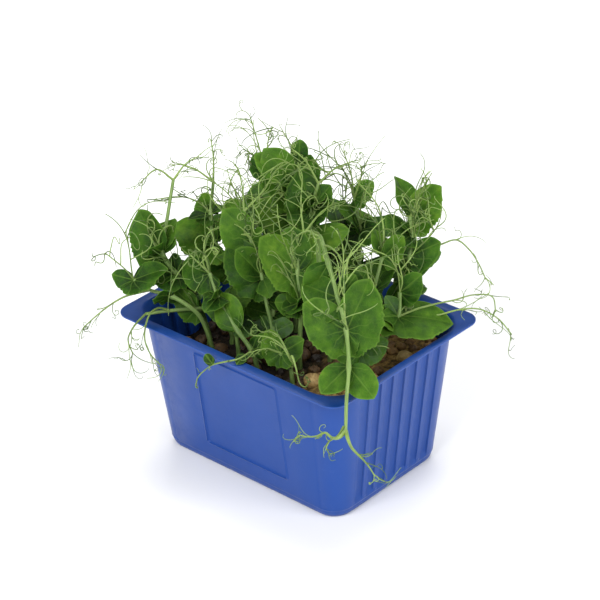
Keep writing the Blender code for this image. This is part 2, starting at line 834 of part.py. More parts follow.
def facing_of(start, reach):
    """Leaves face up and outwards from the middle of the tray, and towards the light in front."""
    outward = np.array([start[0] / TRAY_LENGTH, start[1] / TRAY_WIDTH, 0.0])
    facing = unit(OUTWARDS * outward + np.array(TOWARDS_LIGHT))
    if abs(np.dot(facing, unit(reach))) > EDGE_ON:
        facing = unit(np.array([facing[1], -facing[0], facing[2]]))
    return facing


def grow_leaf(crowd, owner, form, start, reach, draw):
    """The first loosened leaf with room round it, or None."""
    facing = facing_of(start, reach)
    for attempt in range(TRIES):
        leaf = leaf_frame(form, start, reach, facing, draw, attempt / TRIES)
        samples = blade_samples(leaf)
        if clear_of_tray(samples) and crowd.has_room(samples, owner):
            crowd.add(samples, owner)
            return leaf
    return None


def grow_trail(crowd, owner, points, draw):
    """The trail's path, with its points moved a little at random until it has room, or None."""
    start = np.asarray(points[0])
    for attempt in range(TRIES):
        moved = [start]
        drift = np.zeros(3)
        for point in points[1:]:
            step = np.array([draw.uniform(-1, 1) for _ in range(3)])
            drift = drift + step * TENDRIL_DRIFT * attempt
            moved.append(np.asarray(point) + drift)
        path = smooth_path(moved, TENDRIL_RINGS)
        samples = smooth_path(moved, TENDRIL_SAMPLES)[2:]
        if clear_of_tray(samples) and crowd.has_room(samples, owner):
            crowd.add(samples, owner)
            return path
    return None


def grow_all():
    """Every shoot's stem path, leaves and trails. Stems come first, then leaves, then trails."""
    crowd = Crowd()
    grown = []
    for number, shoot in enumerate(SHOOTS):
        through = stem_points(shoot)
        length = sum(math.dist(a, b) for a, b in zip(through, through[1:]))
        path = smooth_path(through, max(5, round(length / STEM_RING_PITCH)))
        crowd.add(smooth_path(through, STEM_SAMPLES), number)
        grown.append((shoot, path, [], []))
    for number, (shoot, _, leaves, _) in enumerate(grown):
        draw = random.Random(f"{shoot.name} {SEED}")
        wanted = [(STIPULE, *leaf) for leaf in shoot.leaves]
        wanted += [(LEAFLET, *leaf) for leaf in shoot.leaflets]
        for form, knot, reach in wanted:
            start = MM * np.array(shoot.stem[knot], float)
            leaf = grow_leaf(crowd, number, form, start, MM * np.array(reach, float), draw)
            if leaf is not None:
                leaves.append(leaf)
    for number, (shoot, _, _, trails) in enumerate(grown):
        draw = random.Random(f"{shoot.name} trails {SEED}")
        for knot, points in shoot.trails:
            route = [MM * np.array(point, float) for point in (shoot.stem[knot], *points)]
            path = grow_trail(crowd, number, route, draw)
            if path is not None:
                trails.append(path)
    return grown


def make_shoot(shoot, path, leaves, trails, material):
    stem = tube(shoot.name, path, STEM_FOOT_RADIUS, STEM_TIP_RADIUS, STEM_SIDES)
    parts = [blade(f"{shoot.name}_leaf_{i}", leaf) for i, leaf in enumerate(leaves)]
    for i, trail in enumerate(trails):
        name = f"{shoot.name}_trail_{i}"
        parts.append(tube(name, trail, TENDRIL_RADIUS, TENDRIL_TIP_RADIUS, TENDRIL_SIDES))
    combine(stem, parts, "UNION")
    stem.data.materials.clear()
    stem.data.materials.append(material)
    return stem


def main():
    for old in list(bpy.data.objects):
        bpy.data.objects.remove(old)
    make_tray()
    make_medium()
    foliage = plain_material("pea_green", (0.09, 0.22, 0.035), 0.5)
    for shoot, path, leaves, trails in grow_all():
        make_shoot(shoot, path, leaves, trails, foliage)


main()
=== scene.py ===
"""The looks of a blue plastic tray of pea shoots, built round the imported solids.

Everything is in metres in the solids' own frame: X along the tray's long sides, Y across it, Z up,
with the origin at the centre of the tray's underside. The first part repeats the rules by which
the solids' stems, leaves and tendrils were placed, so each finer piece keeps its solid's form.
"""

import math
import random
from collections import namedtuple

import bpy
import numpy as np
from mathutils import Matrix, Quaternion, Vector, noise


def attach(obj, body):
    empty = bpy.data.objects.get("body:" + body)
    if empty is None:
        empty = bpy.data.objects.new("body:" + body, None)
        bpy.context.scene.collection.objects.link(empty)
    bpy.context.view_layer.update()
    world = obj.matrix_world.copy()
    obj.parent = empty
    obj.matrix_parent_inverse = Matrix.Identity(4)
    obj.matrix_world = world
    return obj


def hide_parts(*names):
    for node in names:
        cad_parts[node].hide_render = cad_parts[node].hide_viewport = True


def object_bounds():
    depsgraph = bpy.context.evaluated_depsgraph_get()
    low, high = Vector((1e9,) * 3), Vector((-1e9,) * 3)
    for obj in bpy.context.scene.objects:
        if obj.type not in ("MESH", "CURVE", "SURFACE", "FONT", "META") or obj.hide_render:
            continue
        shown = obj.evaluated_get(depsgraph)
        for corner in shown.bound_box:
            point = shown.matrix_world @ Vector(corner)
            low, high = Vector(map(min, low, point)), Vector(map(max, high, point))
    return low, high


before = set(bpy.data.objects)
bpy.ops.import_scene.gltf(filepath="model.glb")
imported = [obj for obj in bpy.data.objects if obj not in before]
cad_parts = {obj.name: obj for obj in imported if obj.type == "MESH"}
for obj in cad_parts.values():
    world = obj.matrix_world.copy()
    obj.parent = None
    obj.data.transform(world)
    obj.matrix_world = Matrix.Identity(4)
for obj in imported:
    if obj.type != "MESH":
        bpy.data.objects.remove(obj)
CAD_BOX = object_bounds()

# A millimetre in metres, and how many of them a metre has.
MM = 0.001
IN_MM = 1000

# Tray: outer sizes, then the sheet it is formed from.
TRAY_LENGTH = 0.146
TRAY_WIDTH = 0.110
TRAY_HEIGHT = 0.078
BASE_LENGTH = 0.117
BASE_WIDTH = 0.0796
END_FLANGE = 0.0037
SIDE_FLANGE = 0.0049
SHEET = 0.0009
FLANGE_CORNER = 0.0083
TOP_CORNER = 0.0170
BASE_CORNER = 0.0105
SHOULDER_STEP = 0.0019
BEVEL_HEIGHT = 0.0045
BEVEL_INSET = 0.0022

# Flutes in each end, and the panel in each long side.
FLUTES = 7
FLUTE_DEPTH = 0.0015
FLUTE_CREST = 0.28
FLUTED_SHARE = 0.98
FLUTE_FOOT = 0.0085
FLUTE_HEAD = 0.0740
PANEL_WIDTH = 0.0535
PANEL_MIDDLE = 0.0015
PANEL_FOOT = 0.0142
PANEL_HEAD = 0.0688
PANEL_DEPTH = 0.0005

# Growing medium, the sown peas in it, and the holes that the stems stand in.
MEDIUM_FOOT = 0.0018
MEDIUM_LEVEL = 0.0570
MEDIUM_SLOPE = 0.12
MEDIUM_GAP = 0.0005
MEDIUM_WAVE = 0.0009
WAVES_PER_METRE = (95, 120)
WAVE_SHIFT = (0.6, -0.4)
PEA_RADIUS = 0.0042
PEA_COUNT = 16
PEA_TO_WALL = 0.0085
PEA_TO_CORNER = 0.006
PEA_TO_STEM = 0.0066
PEA_TO_PEA = 0.0088

# Shoots.
STEM_FOOT_RADIUS = 0.0013
STEM_TIP_RADIUS = 0.0008
STEM_IN_MEDIUM = 0.0055
STEM_SAMPLES = 60
CURVE_STEPS = 16
BLADE_SAMPLE_RINGS = 11
TENDRIL_RADIUS = 0.0005
TENDRIL_RINGS = 7
TENDRIL_SAMPLES = 40
TENDRIL_DRIFT = 0.0002

# How leaves are set: the least and most of each bend of a blade, as a share of its length, the
# direction that leaves face besides outwards, and how much smaller one gets as it seeks room.
FOLD = (0.05, 0.32)
BEND = (0.05, 0.30)
WAVE = (0.010, 0.035)
TOWARDS_LIGHT = (0.35, -0.45, 0.75)
OUTWARDS = 1.3
EDGE_ON = 0.9
SHRINK = 0.35

# The room that leaves and tendrils keep to other shoots and to the rim.
ROOM = 0.0027
RIM_ROOM = 0.0020
TRIES = 40
SEED = 11

# A form of blade: its outline as (angle from the midrib in degrees, share of the length), the angles
# that its samples span, and how deep its teeth are cut. A stipule is half a heart, whose toothed
# lobe hangs beside the stem, and a leaflet is a plain oval.
Form = namedtuple("Form", "outline span teeth")

STIPULE = Form(
    (
        (-70, 0.14), (-52, 0.36), (-34, 0.62), (-18, 0.87), (-6, 0.98), (0, 1.0), (8, 0.96), (25, 0.86),
        (48, 0.76), (75, 0.69), (100, 0.63), (125, 0.57), (150, 0.52), (170, 0.36),
    ),
    (-62, 168),
    0.13,
)
LEAFLET = Form(
    (
        (-86, 0.12), (-62, 0.37), (-42, 0.6), (-24, 0.84), (-9, 0.98), (0, 1.02), (9, 0.98), (24, 0.84),
        (42, 0.6), (62, 0.37), (86, 0.12),
    ),
    (-74, 74),
    0.0,
)
TOOTHED_FROM = 50
TOOTH_PITCH = 40

# A stem is a root (x, y) on the medium and the points (x, y, z) it passes, in millimetres. A leaf,
# which is a stipule, and a leaflet are the number of a stem point and the reach (x, y, z) from
# there to the tip. A trail is the number of a stem point and the points a tendril passes.
Shoot = namedtuple("Shoot", "name root stem leaves trails leaflets", defaults=[()])

SHOOTS = (
    Shoot(
        "shoot_front", (21, 0),
        (
            (20, -4, 109), (21, -6, 127), (28, -12, 136), (38, -18, 128), (48, -23, 115),
            (57, -28, 103), (66, -37, 91), (73, -47, 81), (80, -56, 71),
        ),
        ((5, (-20, -8, 10)), (5, (2, 16, 20)), (4, (-20, -4, 3)), (4, (2, 11, 8))),
        (
            (8, ((77, -60, 67), (72, -61, 69), (68, -65, 67), (63, -69, 68))),
            (8, ((85, -58, 65), (93, -57, 59), (98, -57, 54))),
        ),
        ((6, (3, -17, -13)), (6, (16, -2, -9)), (3, (-5, -8, -16))),
    ),
    Shoot(
        "shoot_right_low", (42, 4), ((46, 11, 74), (50, 18, 87), (48, 22, 98)),
        ((1, (24, 19, 0)), (1, (-3, -14, 6)), (2, (9, 4, 10))),
        (
            (1, ((57, 29, 90), (67, 45, 91), (73, 54, 92), (79, 59, 88), (81, 55, 84))),
            (1, ((59, 32, 84), (70, 49, 85), (79, 57, 80), (88, 59, 72))),
        ),
    ),
    Shoot(
        "shoot_left_high", (-47, -15),
        ((-48, -22, 82), (-53, -29, 95), (-60, -31, 106), (-67, -19, 120), (-71, -10, 134)),
        ((2, (-15, -2, 18)), (2, (-6, 12, 13)), (0, (-12, 0, 14)), (1, (-12, -10, 4))),
        ((4, ((-70, -2, 140), (-68, 5, 142))), (4, ((-77, -15, 140), (-81, -22, 135)))),
    ),
    Shoot(
        "shoot_left_low", (-33, -27), ((-36, -32, 79), (-47, -39, 89), (-56, -45, 92), (-63, -49, 97)),
        ((3, (10, 15, 5)), (3, (-9, -6, 3)), (1, (-13, 5, 11))),
        ((2, ((-64, -56, 90), (-70, -66, 84), (-76, -73, 76))),),
    ),
    Shoot(
        "shoot_fork", (0, -30), ((-1, -32, 72), (-9, -33, 81), (-24, -30, 93), (-32, -27, 102)),
        ((3, (-17, -4, 2)),),
        (
            (3, ((-38, -28, 106), (-44, -28, 109))),
            (3, ((-39, -23, 113), (-40, -15, 119), (-34, -10, 118))),
        ),
        ((1, (-12, 1, 15)), (0, (12, 4, 9)), (0, (-9, 9, -5))),
    ),
    Shoot(
        "shoot_stalk", (-37, -9), ((-39, -16, 73), (-41, -28, 79), (-48, -40, 81), (-54, -51, 82)),
        ((1, (-10, -5, 9)), (0, (-12, 2, 5))),
        (
            (3, ((-54, -59, 79), (-53, -65, 74), (-49, -66, 68))),
            (2, ((-49, -49, 86), (-46, -58, 84), (-42, -64, 78), (-38, -65, 72), (-32, -64, 67))),
        ),
    ),
    Shoot(
        "shoot_centre", (3, -18),
        ((0, -17, 76), (-6, -15, 90), (-11, -12, 101), (-21, -8, 116), (-30, -3, 127)),
        ((2, (-17, -6, 16)), (2, (2, 17, 14)), (3, (-14, -3, 14)), (0, (-12, -4, 6))),
        ((4, ((-34, 1, 136), (-40, 5, 143))), (4, ((-26, 4, 134), (-22, 9, 143)))),
        ((2, (-8, -8, 15)), (0, (12, 4, 5))),
    ),
    Shoot(
        "shoot_middle", (12, -12), ((11, -9, 93), (5, -4, 106), (1, 6, 121)),
        ((1, (-15, -7, 17)), (1, (-5, 15, 16)), (0, (14, -6, 6)), (0, (-12, -6, -1))),
        ((2, ((-4, 10, 133), (-8, 16, 143))), (2, ((6, 12, 131), (13, 14, 138)))), ((1, (-8, 5, 19)),),
    ),
    Shoot(
        "shoot_top_left", (-17, 17), ((-19, 21, 92), (-23, 26, 111), (-26, 31, 126), (-30, 38, 136)),
        ((2, (-14, -2, 21)), (2, (-2, 12, 15)), (1, (-20, -5, 10)), (1, (-6, 14, 14))),
        ((3, ((-36, 40, 143), (-44, 42, 149))),), ((3, (-2, 3, 12)), (2, (-20, -7, 16))),
    ),
    Shoot(
        "shoot_top_right", (0, 14), ((-4, 18, 92), (-8, 22, 109), (-12, 26, 121), (-12, 32, 134)),
        ((2, (-9, 8, 20)), (2, (6, 10, 12)), (1, (14, 8, 8)), (0, (-14, -4, 8))),
        ((3, ((-7, 39, 141), (0, 44, 145))), (3, ((-18, 30, 145), (-24, 26, 152)))),
        ((2, (2, -1, 20)),),
    ),
    Shoot(
        "shoot_right_high", (31, 24),
        ((33, 31, 82), (36, 39, 95), (37, 43, 105), (34, 48, 114), (29, 53, 120)),
        ((4, (9, 12, 15)), (2, (11, 9, 8)), (3, (-12, -4, 9)), (1, (16, -5, 0))),
        ((2, ((44, 55, 108), (50, 65, 109), (59, 67, 101), (67, 65, 93))),), ((4, (-9, 8, 17)),),
    ),
    Shoot(
        "shoot_right_mid", (25, 9), ((28, 13, 80), (33, 19, 94), (32, 28, 109)),
        ((1, (12, 21, 11)), (1, (-11, 2, 10)), (2, (-9, 8, 10)), (2, (1, 13, 13))),
        ((2, ((29, 33, 120), (21, 38, 130), (12, 36, 139))),), ((0, (14, -2, 9)),),
    ),
    Shoot(
        "shoot_back_left", (-49, 11), ((-52, 10, 82), (-58, 4, 97), (-62, 6, 111), (-68, 15, 124)),
        ((1, (-20, -7, 10)), (1, (-4, 17, 11)), (2, (-10, 3, 8)), (0, (-14, -4, 6))),
        ((3, ((-73, 21, 133), (-78, 25, 140))), (3, ((-76, 11, 130), (-84, 8, 132)))),
    ),
    Shoot(
        "shoot_back_high", (-35, 33), ((-41, 36, 85), (-48, 38, 105), (-55, 40, 123)),
        ((1, (-17, 10, 10)), (1, (-2, -16, 14)), (2, (-9, 3, 8)), (0, (-14, 12, 8))),
        ((2, ((-60, 41, 136), (-66, 43, 147))), (2, ((-52, 33, 134), (-54, 25, 142)))),
    ),
    Shoot(
        "shoot_back_right", (2, 42), ((1, 46, 84), (-3, 52, 102), (-9, 55, 117)),
        ((1, (18, 11, 9)), (1, (-17, 10, 8)), (2, (3, 10, 8)), (0, (14, 13, 4))),
        ((2, ((-15, 60, 127), (-23, 64, 135))), (2, ((-5, 56, 130), (-1, 52, 139)))),
        ((1, (-4, -5, 18)), (0, (-8, -4, 17))),
    ),
    Shoot(
        "shoot_low_front", (27, -34), ((27, -35, 74), (23, -37, 82)),
        ((1, (-11, 0, 8)), (1, (9, 6, 8))), ((1, ((18, -42, 85), (14, -45, 82))),),
    ),
    Shoot(
        "shoot_low_left", (-21, -21), ((-23, -21, 74), (-27, -22, 82)),
        ((1, (-14, -6, 5)), (1, (-2, 15, 7))), (), ((0, (14, -3, 4)),),
    ),
    Shoot(
        "shoot_low_right", (47, -18), ((48, -15, 73), (51, -11, 81)),
        ((1, (10, 8, 6)), (1, (-4, -13, 5))), (),
    ),
    Shoot(
        "shoot_low_middle", (-15, -2), ((-14, -2, 73), (-17, 1, 85)),
        ((1, (-14, 6, 5)), (1, (14, 1, 6))), (),
        ((0, (-13, -5, 3)), (0, (12, -6, 4)), (0, (3, -14, -2))),
    ),
    Shoot(
        "shoot_low_back", (-27, -1), ((-29, 2, 77), (-35, 5, 95), (-35, 4, 115)),
        ((1, (-16, -8, 8)), (1, (-5, 16, 7)), (2, (-15, 1, 9)), (0, (-12, -8, -5))),
        ((2, ((-40, 6, 126), (-44, 3, 135))),),
    ),
    Shoot(
        "shoot_far_end", (-58, 37), ((-59, 38, 77), (-65, 42, 89)),
        ((1, (-18, 6, 7)), (1, (-6, 18, 6))), ((1, ((-73, 46, 97), (-81, 48, 101))),),
    ),
    Shoot(
        "shoot_back_middle", (-18, 43), ((-18, 48, 82), (-18, 53, 99)),
        ((1, (16, 12, 5)), (1, (-15, 12, 8)), (0, (-3, 17, 2))),
        ((1, ((-15, 62, 108), (-11, 67, 117))),),
    ),
    Shoot(
        "shoot_far_side", (24, 42), ((23, 47, 79), (21, 53, 93)), ((1, (15, 16, 3)), (1, (-10, 15, 6))),
        ((1, ((21, 59, 105), (17, 68, 113))),),
    ),
)

Leaf = namedtuple("Leaf", "form start axis lobe normal reach fold bend wave phase")


# ---- The design, as the solids were made ----


def wall_half(level):
    """Half the length and half the width of the tray's outside at a height. The wall leans out up
    to the flutes' heads, and from there a shoulder widens it faster up to the flange."""
    share = np.minimum(level / FLUTE_HEAD, 1)
    widened = SHOULDER_STEP * np.maximum(level - FLUTE_HEAD, 0) / (TRAY_HEIGHT - FLUTE_HEAD)
    top_x = TRAY_LENGTH / 2 - END_FLANGE - SHOULDER_STEP
    top_y = TRAY_WIDTH / 2 - SIDE_FLANGE - SHOULDER_STEP
    half_x = BASE_LENGTH / 2 + (top_x - BASE_LENGTH / 2) * share + widened
    half_y = BASE_WIDTH / 2 + (top_y - BASE_WIDTH / 2) * share + widened
    return half_x, half_y


def wall_corner(level):
    return BASE_CORNER + (TOP_CORNER - BASE_CORNER) * level / TRAY_HEIGHT


def shrunk(half, inset):
    return half[0] - inset, half[1] - inset


def medium_height(x, y):
    """The top of the growing medium, which is uneven and has sunk at one end."""
    along = np.sin(x * WAVES_PER_METRE[0] + WAVE_SHIFT[0])
    across = np.cos(y * WAVES_PER_METRE[1] + WAVE_SHIFT[1])
    return MEDIUM_LEVEL + MEDIUM_SLOPE * x + MEDIUM_WAVE * along * across


def beside_wall(x, y):
    """A place at the medium's middle level, moved as the walls lean to its height there."""
    half = wall_half(medium_height(x, y))
    middle_half = wall_half(MEDIUM_LEVEL)
    return x * half[0] / middle_half[0], y * half[1] / middle_half[1]


def metres(values):
    return MM * np.array(values, float)


def spaced_peas():
    """Places for the sown peas, spread over the medium clear of the stems and of each other."""
    draw = random.Random(SEED)
    half_x, half_y = shrunk(wall_half(MEDIUM_LEVEL), PEA_TO_WALL)
    corner_x, corner_y = half_x - PEA_TO_CORNER, half_y - PEA_TO_CORNER
    taken = [(*metres(shoot.root), PEA_TO_STEM) for shoot in SHOOTS]
    peas = []
    while len(peas) < PEA_COUNT:
        x = draw.uniform(-half_x, half_x)
        y = draw.uniform(-half_y, half_y)
        in_corner = abs(x) > corner_x and abs(y) > corner_y
        if in_corner or any(math.hypot(x - a, y - b) < room for a, b, room in taken):
            continue
        taken.append((x, y, PEA_TO_PEA))
        peas.append((x, y, draw.uniform(0.1, 0.5) * PEA_RADIUS, draw.uniform(0, math.pi)))
    return peas


def unit(vector):
    vector = np.asarray(vector, float)
    return vector / np.linalg.norm(vector)


def run_along(points):
    """How far along a path each of its points is."""
    return np.concatenate([[0], np.cumsum(np.linalg.norm(np.diff(points, axis=0), axis=1))])


def evenly(points, count, endpoint=True):
    """Count points, evenly spaced, on the straight pieces between the given points."""
    run = run_along(points)
    even = np.linspace(0, run[-1], count, endpoint=endpoint)
    return np.column_stack([np.interp(even, run, column) for column in points.T])


def smooth_path(points, count):
    """Count points, evenly spaced, on the Catmull-Rom curve through the given points."""
    points = np.asarray(points, float)
    ends = np.vstack([2 * points[0] - points[1], points, 2 * points[-1] - points[-2]])
    dense = []
    for a, b, c, d in zip(ends, ends[1:], ends[2:], ends[3:]):
        for t in np.arange(CURVE_STEPS) / CURVE_STEPS:
            bend = 2 * a - 5 * b + 4 * c - d
            twist = 3 * b - a - 3 * c + d
            dense.append(0.5 * (2 * b + (c - a) * t + bend * t * t + twist * t**3))
    return evenly(np.array(dense + [points[-1]]), count)


def stem_points(shoot):
    """The stem's own points in metres: up out of its hole, then through the shoot's points."""
    x, y = metres(shoot.root)
    top = medium_height(x, y)
    upright = [(x, y, top + rise) for rise in (-STEM_IN_MEDIUM, 0.0, STEM_IN_MEDIUM)]
    return np.vstack([upright, metres(shoot.stem)])


def outline_share(form, angles):
    """The blade's reach at these angles in degrees from its midrib, as a share of its length."""
    known, shares = zip(*form.outline)
    shares = np.interp(angles, known, shares)
    into = np.clip((angles - TOOTHED_FROM) / TOOTH_PITCH, 0, None)
    tooth = np.abs(2 * (into % 1.0) - 1)
    return shares * (1 - form.teeth * np.where(into > 0, 1 - tooth, 0))


def blade_points(leaf, outward, angles):
    """Points of the blade's middle surface, from 0 at its foot to 1 at its edge, at these angles."""
    reach = leaf.reach * outline_share(leaf.form, angles) * outward
    turned = np.radians(angles)
    along = reach * np.cos(turned)
    across = reach * np.sin(turned)
    rise = leaf.fold * np.abs(across) - leaf.bend * (along**2 + across**2) / leaf.reach
    rise += leaf.wave * leaf.reach * outward**2 * np.sin(3 * turned + leaf.phase)
    point = leaf.start + along[..., None] * leaf.axis + across[..., None] * leaf.lobe
    return point + rise[..., None] * leaf.normal


def blade_samples(leaf):
    """Points spread over the blade, close enough together to tell what it would touch."""
    rows = []
    for outward in np.linspace(0.2, 1.0, BLADE_SAMPLE_RINGS):
        angles = np.linspace(*leaf.form.span, 5 + int(24 * outward))
        rows.append(blade_points(leaf, np.full(len(angles), outward), angles))
    return np.vstack(rows)


def rounded_distance(x, y, half_x, half_y, corner):
    """Distance from a rounded rectangle's edge, negative inside it."""
    over_x = np.abs(x) - (half_x - corner)
    over_y = np.abs(y) - (half_y - corner)
    outside = np.hypot(np.maximum(over_x, 0), np.maximum(over_y, 0))
    return outside + np.minimum(np.maximum(over_x, over_y), 0) - corner


def clear_of_tray(points):
    """Whether every point is above the rim, outside the flange, or inside above the medium."""
    x, y, z = points.T
    inner = rounded_distance(x, y, *wall_half(z), TOP_CORNER)
    inside = (inner < -(SHEET + FLUTE_DEPTH + RIM_ROOM)) & (z > medium_height(x, y) + 2 * RIM_ROOM)
    above = z > TRAY_HEIGHT + RIM_ROOM
    outside = rounded_distance(x, y, TRAY_LENGTH / 2, TRAY_WIDTH / 2, FLANGE_CORNER) > RIM_ROOM
    return bool((inside | above | outside).all())


class Crowd:
    """The points of everything placed so far, each with the number of its shoot."""

    def __init__(self):
        self.points = np.empty((0, 3))
        self.owners = np.empty(0, int)

    def add(self, points, owner):
        self.points = np.vstack([self.points, points])
        self.owners = np.concatenate([self.owners, np.full(len(points), owner)])

    def has_room(self, points, owner):
        """Whether these points keep their distance from every other shoot."""
        low, high = points.min(axis=0) - ROOM, points.max(axis=0) + ROOM
        near = ((self.points > low) & (self.points < high)).all(axis=1)
        others = self.points[near & (self.owners != owner)]
        gaps = ((points[:, None, :] - others[None, :, :]) ** 2).sum(axis=2)
        return not len(others) or gaps.min() >= ROOM * ROOM


def turned_about(vector, axis, angle):
    axis = unit(axis)
    vector = np.asarray(vector, float)
    kept, across = vector * math.cos(angle), np.cross(axis, vector) * math.sin(angle)
    return kept + across + axis * np.dot(axis, vector) * (1 - math.cos(angle))


def leaf_frame(form, start, reach, facing, draw, loosen):
    """A leaf whose midrib lies along reach and whose face turns to facing, loosened at random."""
    axis = turned_about(unit(reach), facing, draw.uniform(-1.0, 1.0) * loosen)
    axis = turned_about(axis, np.cross(axis, facing), draw.uniform(-0.8, 0.8) * loosen)
    normal = unit(facing - axis * np.dot(facing, axis))
    normal = turned_about(normal, axis, draw.uniform(-0.9, 0.9) * (0.25 + loosen))
    lobe = np.cross(normal, axis)
    lobe = -lobe if lobe[2] > 0 else lobe
    size = np.linalg.norm(reach) * (1 - SHRINK * loosen)
    bends = [draw.uniform(*bounds) for bounds in (FOLD, BEND, WAVE, (0, 2 * math.pi))]
    return Leaf(form, start, axis, lobe, normal, size, *bends)


def facing_of(start, reach):
    """Leaves face up and outwards from the middle of the tray, and towards the light in front."""
    outward = np.array([start[0] / TRAY_LENGTH, start[1] / TRAY_WIDTH, 0.0])
    facing = unit(OUTWARDS * outward + np.array(TOWARDS_LIGHT))
    if abs(np.dot(facing, unit(reach))) > EDGE_ON:
        facing = unit(np.array([facing[1], -facing[0], facing[2]]))
    return facing


def loosened_leaves(form, start, reach, draw):
    """Leaves to try, each looser than the one before, with points spread over them."""
    facing = facing_of(start, reach)
    for attempt in range(TRIES):
        leaf = leaf_frame(form, start, reach, facing, draw, attempt / TRIES)
        yield leaf, blade_samples(leaf)


def drifting_trails(points, draw):
    """Paths to try for a trail, each moved further at random, with points close along them."""
    for attempt in range(TRIES):
        moved = [points[0]]
        drift = np.zeros(3)
        for point in points[1:]:
            step = np.array([draw.uniform(-1, 1) for _ in range(3)])
            drift = drift + step * TENDRIL_DRIFT * attempt
            moved.append(point + drift)
        yield smooth_path(moved, TENDRIL_RINGS), smooth_path(moved, TENDRIL_SAMPLES)[2:]


def first_with_room(crowd, owner, tries):
    """A list of the first leaf or path that has room beside the tray and the crowd, or of none."""
    for made, samples in tries:
        if clear_of_tray(samples) and crowd.has_room(samples, owner):
            crowd.add(samples, owner)
            return [made]
    return []


def grow_all():
    """Every shoot with its leaves and trails, which grow after all the stems."""
    crowd = Crowd()
    grown = [(shoot, [], []) for shoot in SHOOTS]
    for number, shoot in enumerate(SHOOTS):
        crowd.add(smooth_path(stem_points(shoot), STEM_SAMPLES), number)
    for number, (shoot, leaves, _) in enumerate(grown):
        draw = random.Random(f"{shoot.name} {SEED}")
        wanted = [(STIPULE, *leaf) for leaf in shoot.leaves]
        wanted += [(LEAFLET, *leaf) for leaf in shoot.leaflets]
        for form, knot, reach in wanted:
            tries = loosened_leaves(form, metres(shoot.stem[knot]), metres(reach), draw)
            leaves.extend(first_with_room(crowd, number, tries))
    for number, (shoot, _, trails) in enumerate(grown):
        draw = random.Random(f"{shoot.name} trails {SEED}")
        for knot, points in shoot.trails:
            tries = drifting_trails(metres((shoot.stem[knot], *points)), draw)
            trails.extend(first_with_room(crowd, number, tries))
    return grown


# ---- Meshes ----


def placed(name, data):
    made = bpy.data.objects.new(name, data)
    bpy.context.scene.collection.objects.link(made)
    return made


class Skin:
    """Closed shells gathered into one mesh. Each point has its spot on its shell, in millimetres,
    and marks: its tone, its bloom or, on the tray, its painted highlight and shade, and how near
    it is to an edge."""

    def __init__(self):
        self.points, self.faces, self.kinds, self.spots, self.marks = [], [], [], [], []
        self.count = 0

    def add(self, points, faces, kind=0, spots=(0, 0, 0), marks=(0, 0, 0)):
        shape = (len(points), 3)
        self.points.append(np.asarray(points, float))
        self.faces.extend(tuple(int(i) + self.count for i in face) for face in faces)
        self.kinds.extend([kind] * len(faces))
        self.spots.append(np.broadcast_to(np.asarray(spots, float), shape))
        self.marks.append(np.broadcast_to(np.asarray(marks, float), shape))
        self.count += len(points)

    def to_object(self, name, materials, sharp_degrees):
        data = bpy.data.meshes.new(name)
        data.from_pydata(np.vstack(self.points).tolist(), [], self.faces)
        data.polygons.foreach_set("material_index", self.kinds)
        for title, rows in (("spot", self.spots), ("mark", self.marks)):
            attribute = data.attributes.new(title, "FLOAT_VECTOR", "POINT")
            attribute.data.foreach_set("vector", np.vstack(rows).ravel())
        for material in materials:
            data.materials.append(material)
        data.shade_smooth()
        data.set_sharp_from_angle(angle=math.radians(sharp_degrees))
        made = placed(name, data)
        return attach(made, "root")


def ring_faces(rings, count):
    """Faces of a tube of rings of count points each, closed by a centre point at each end."""
    faces = []
    pairs = [(i, (i + 1) % count) for i in range(count)]
    for low in range(0, (rings - 1) * count, count):
        faces += [(low + i, low + j, low + count + j, low + count + i) for i, j in pairs]
    foot, last = rings * count, (rings - 1) * count
    for i, j in pairs:
        faces += [(foot, j, i), (foot + 1, last + i, last + j)]
    return faces


def tube_frames(path):
    """A pair of directions across the path at each of its points, turning as little as it can."""
    along = np.gradient(path, axis=0)
    along /= np.linalg.norm(along, axis=1)[:, None]
    side = unit(np.cross(along[0], (0.3, 1.0, 0.2)))
    frames = []
    for direction in along:
        side = unit(side - direction * np.dot(side, direction))
        frames.append((side, np.cross(direction, side)))
    return np.array(frames)


def add_tube(skin, path, radii, sides, kind, tone):
    """A closed round tube along the path, with one tone or a tone for each point of the path. Its
    spot is the distance along and the place round it."""
    run = IN_MM * run_along(path)
    turns = 2 * np.pi * np.arange(sides) / sides
    circle = np.column_stack([np.cos(turns), np.sin(turns)])
    across = np.einsum("sk,pkx->psx", circle, tube_frames(path))
    rings = path[:, None, :] + radii[:, None, None] * across
    points = np.vstack([rings.reshape(-1, 3), path[:1], path[-1:]])
    spots = np.zeros((len(path), sides, 3))
    spots[:, :, 0] = run[:, None]
    spots[:, :, 1:] = circle
    spots = np.vstack([spots.reshape(-1, 3), (0, 0, 0), (run[-1], 0, 0)])
    tones = np.broadcast_to(tone, len(path))
    marks = np.zeros((len(points), 3))
    marks[:, 0] = np.concatenate([np.repeat(tones, sides), tones[[0, -1]]])
    skin.add(points, ring_faces(len(path), sides), kind, spots, marks)


# ---- Materials ----


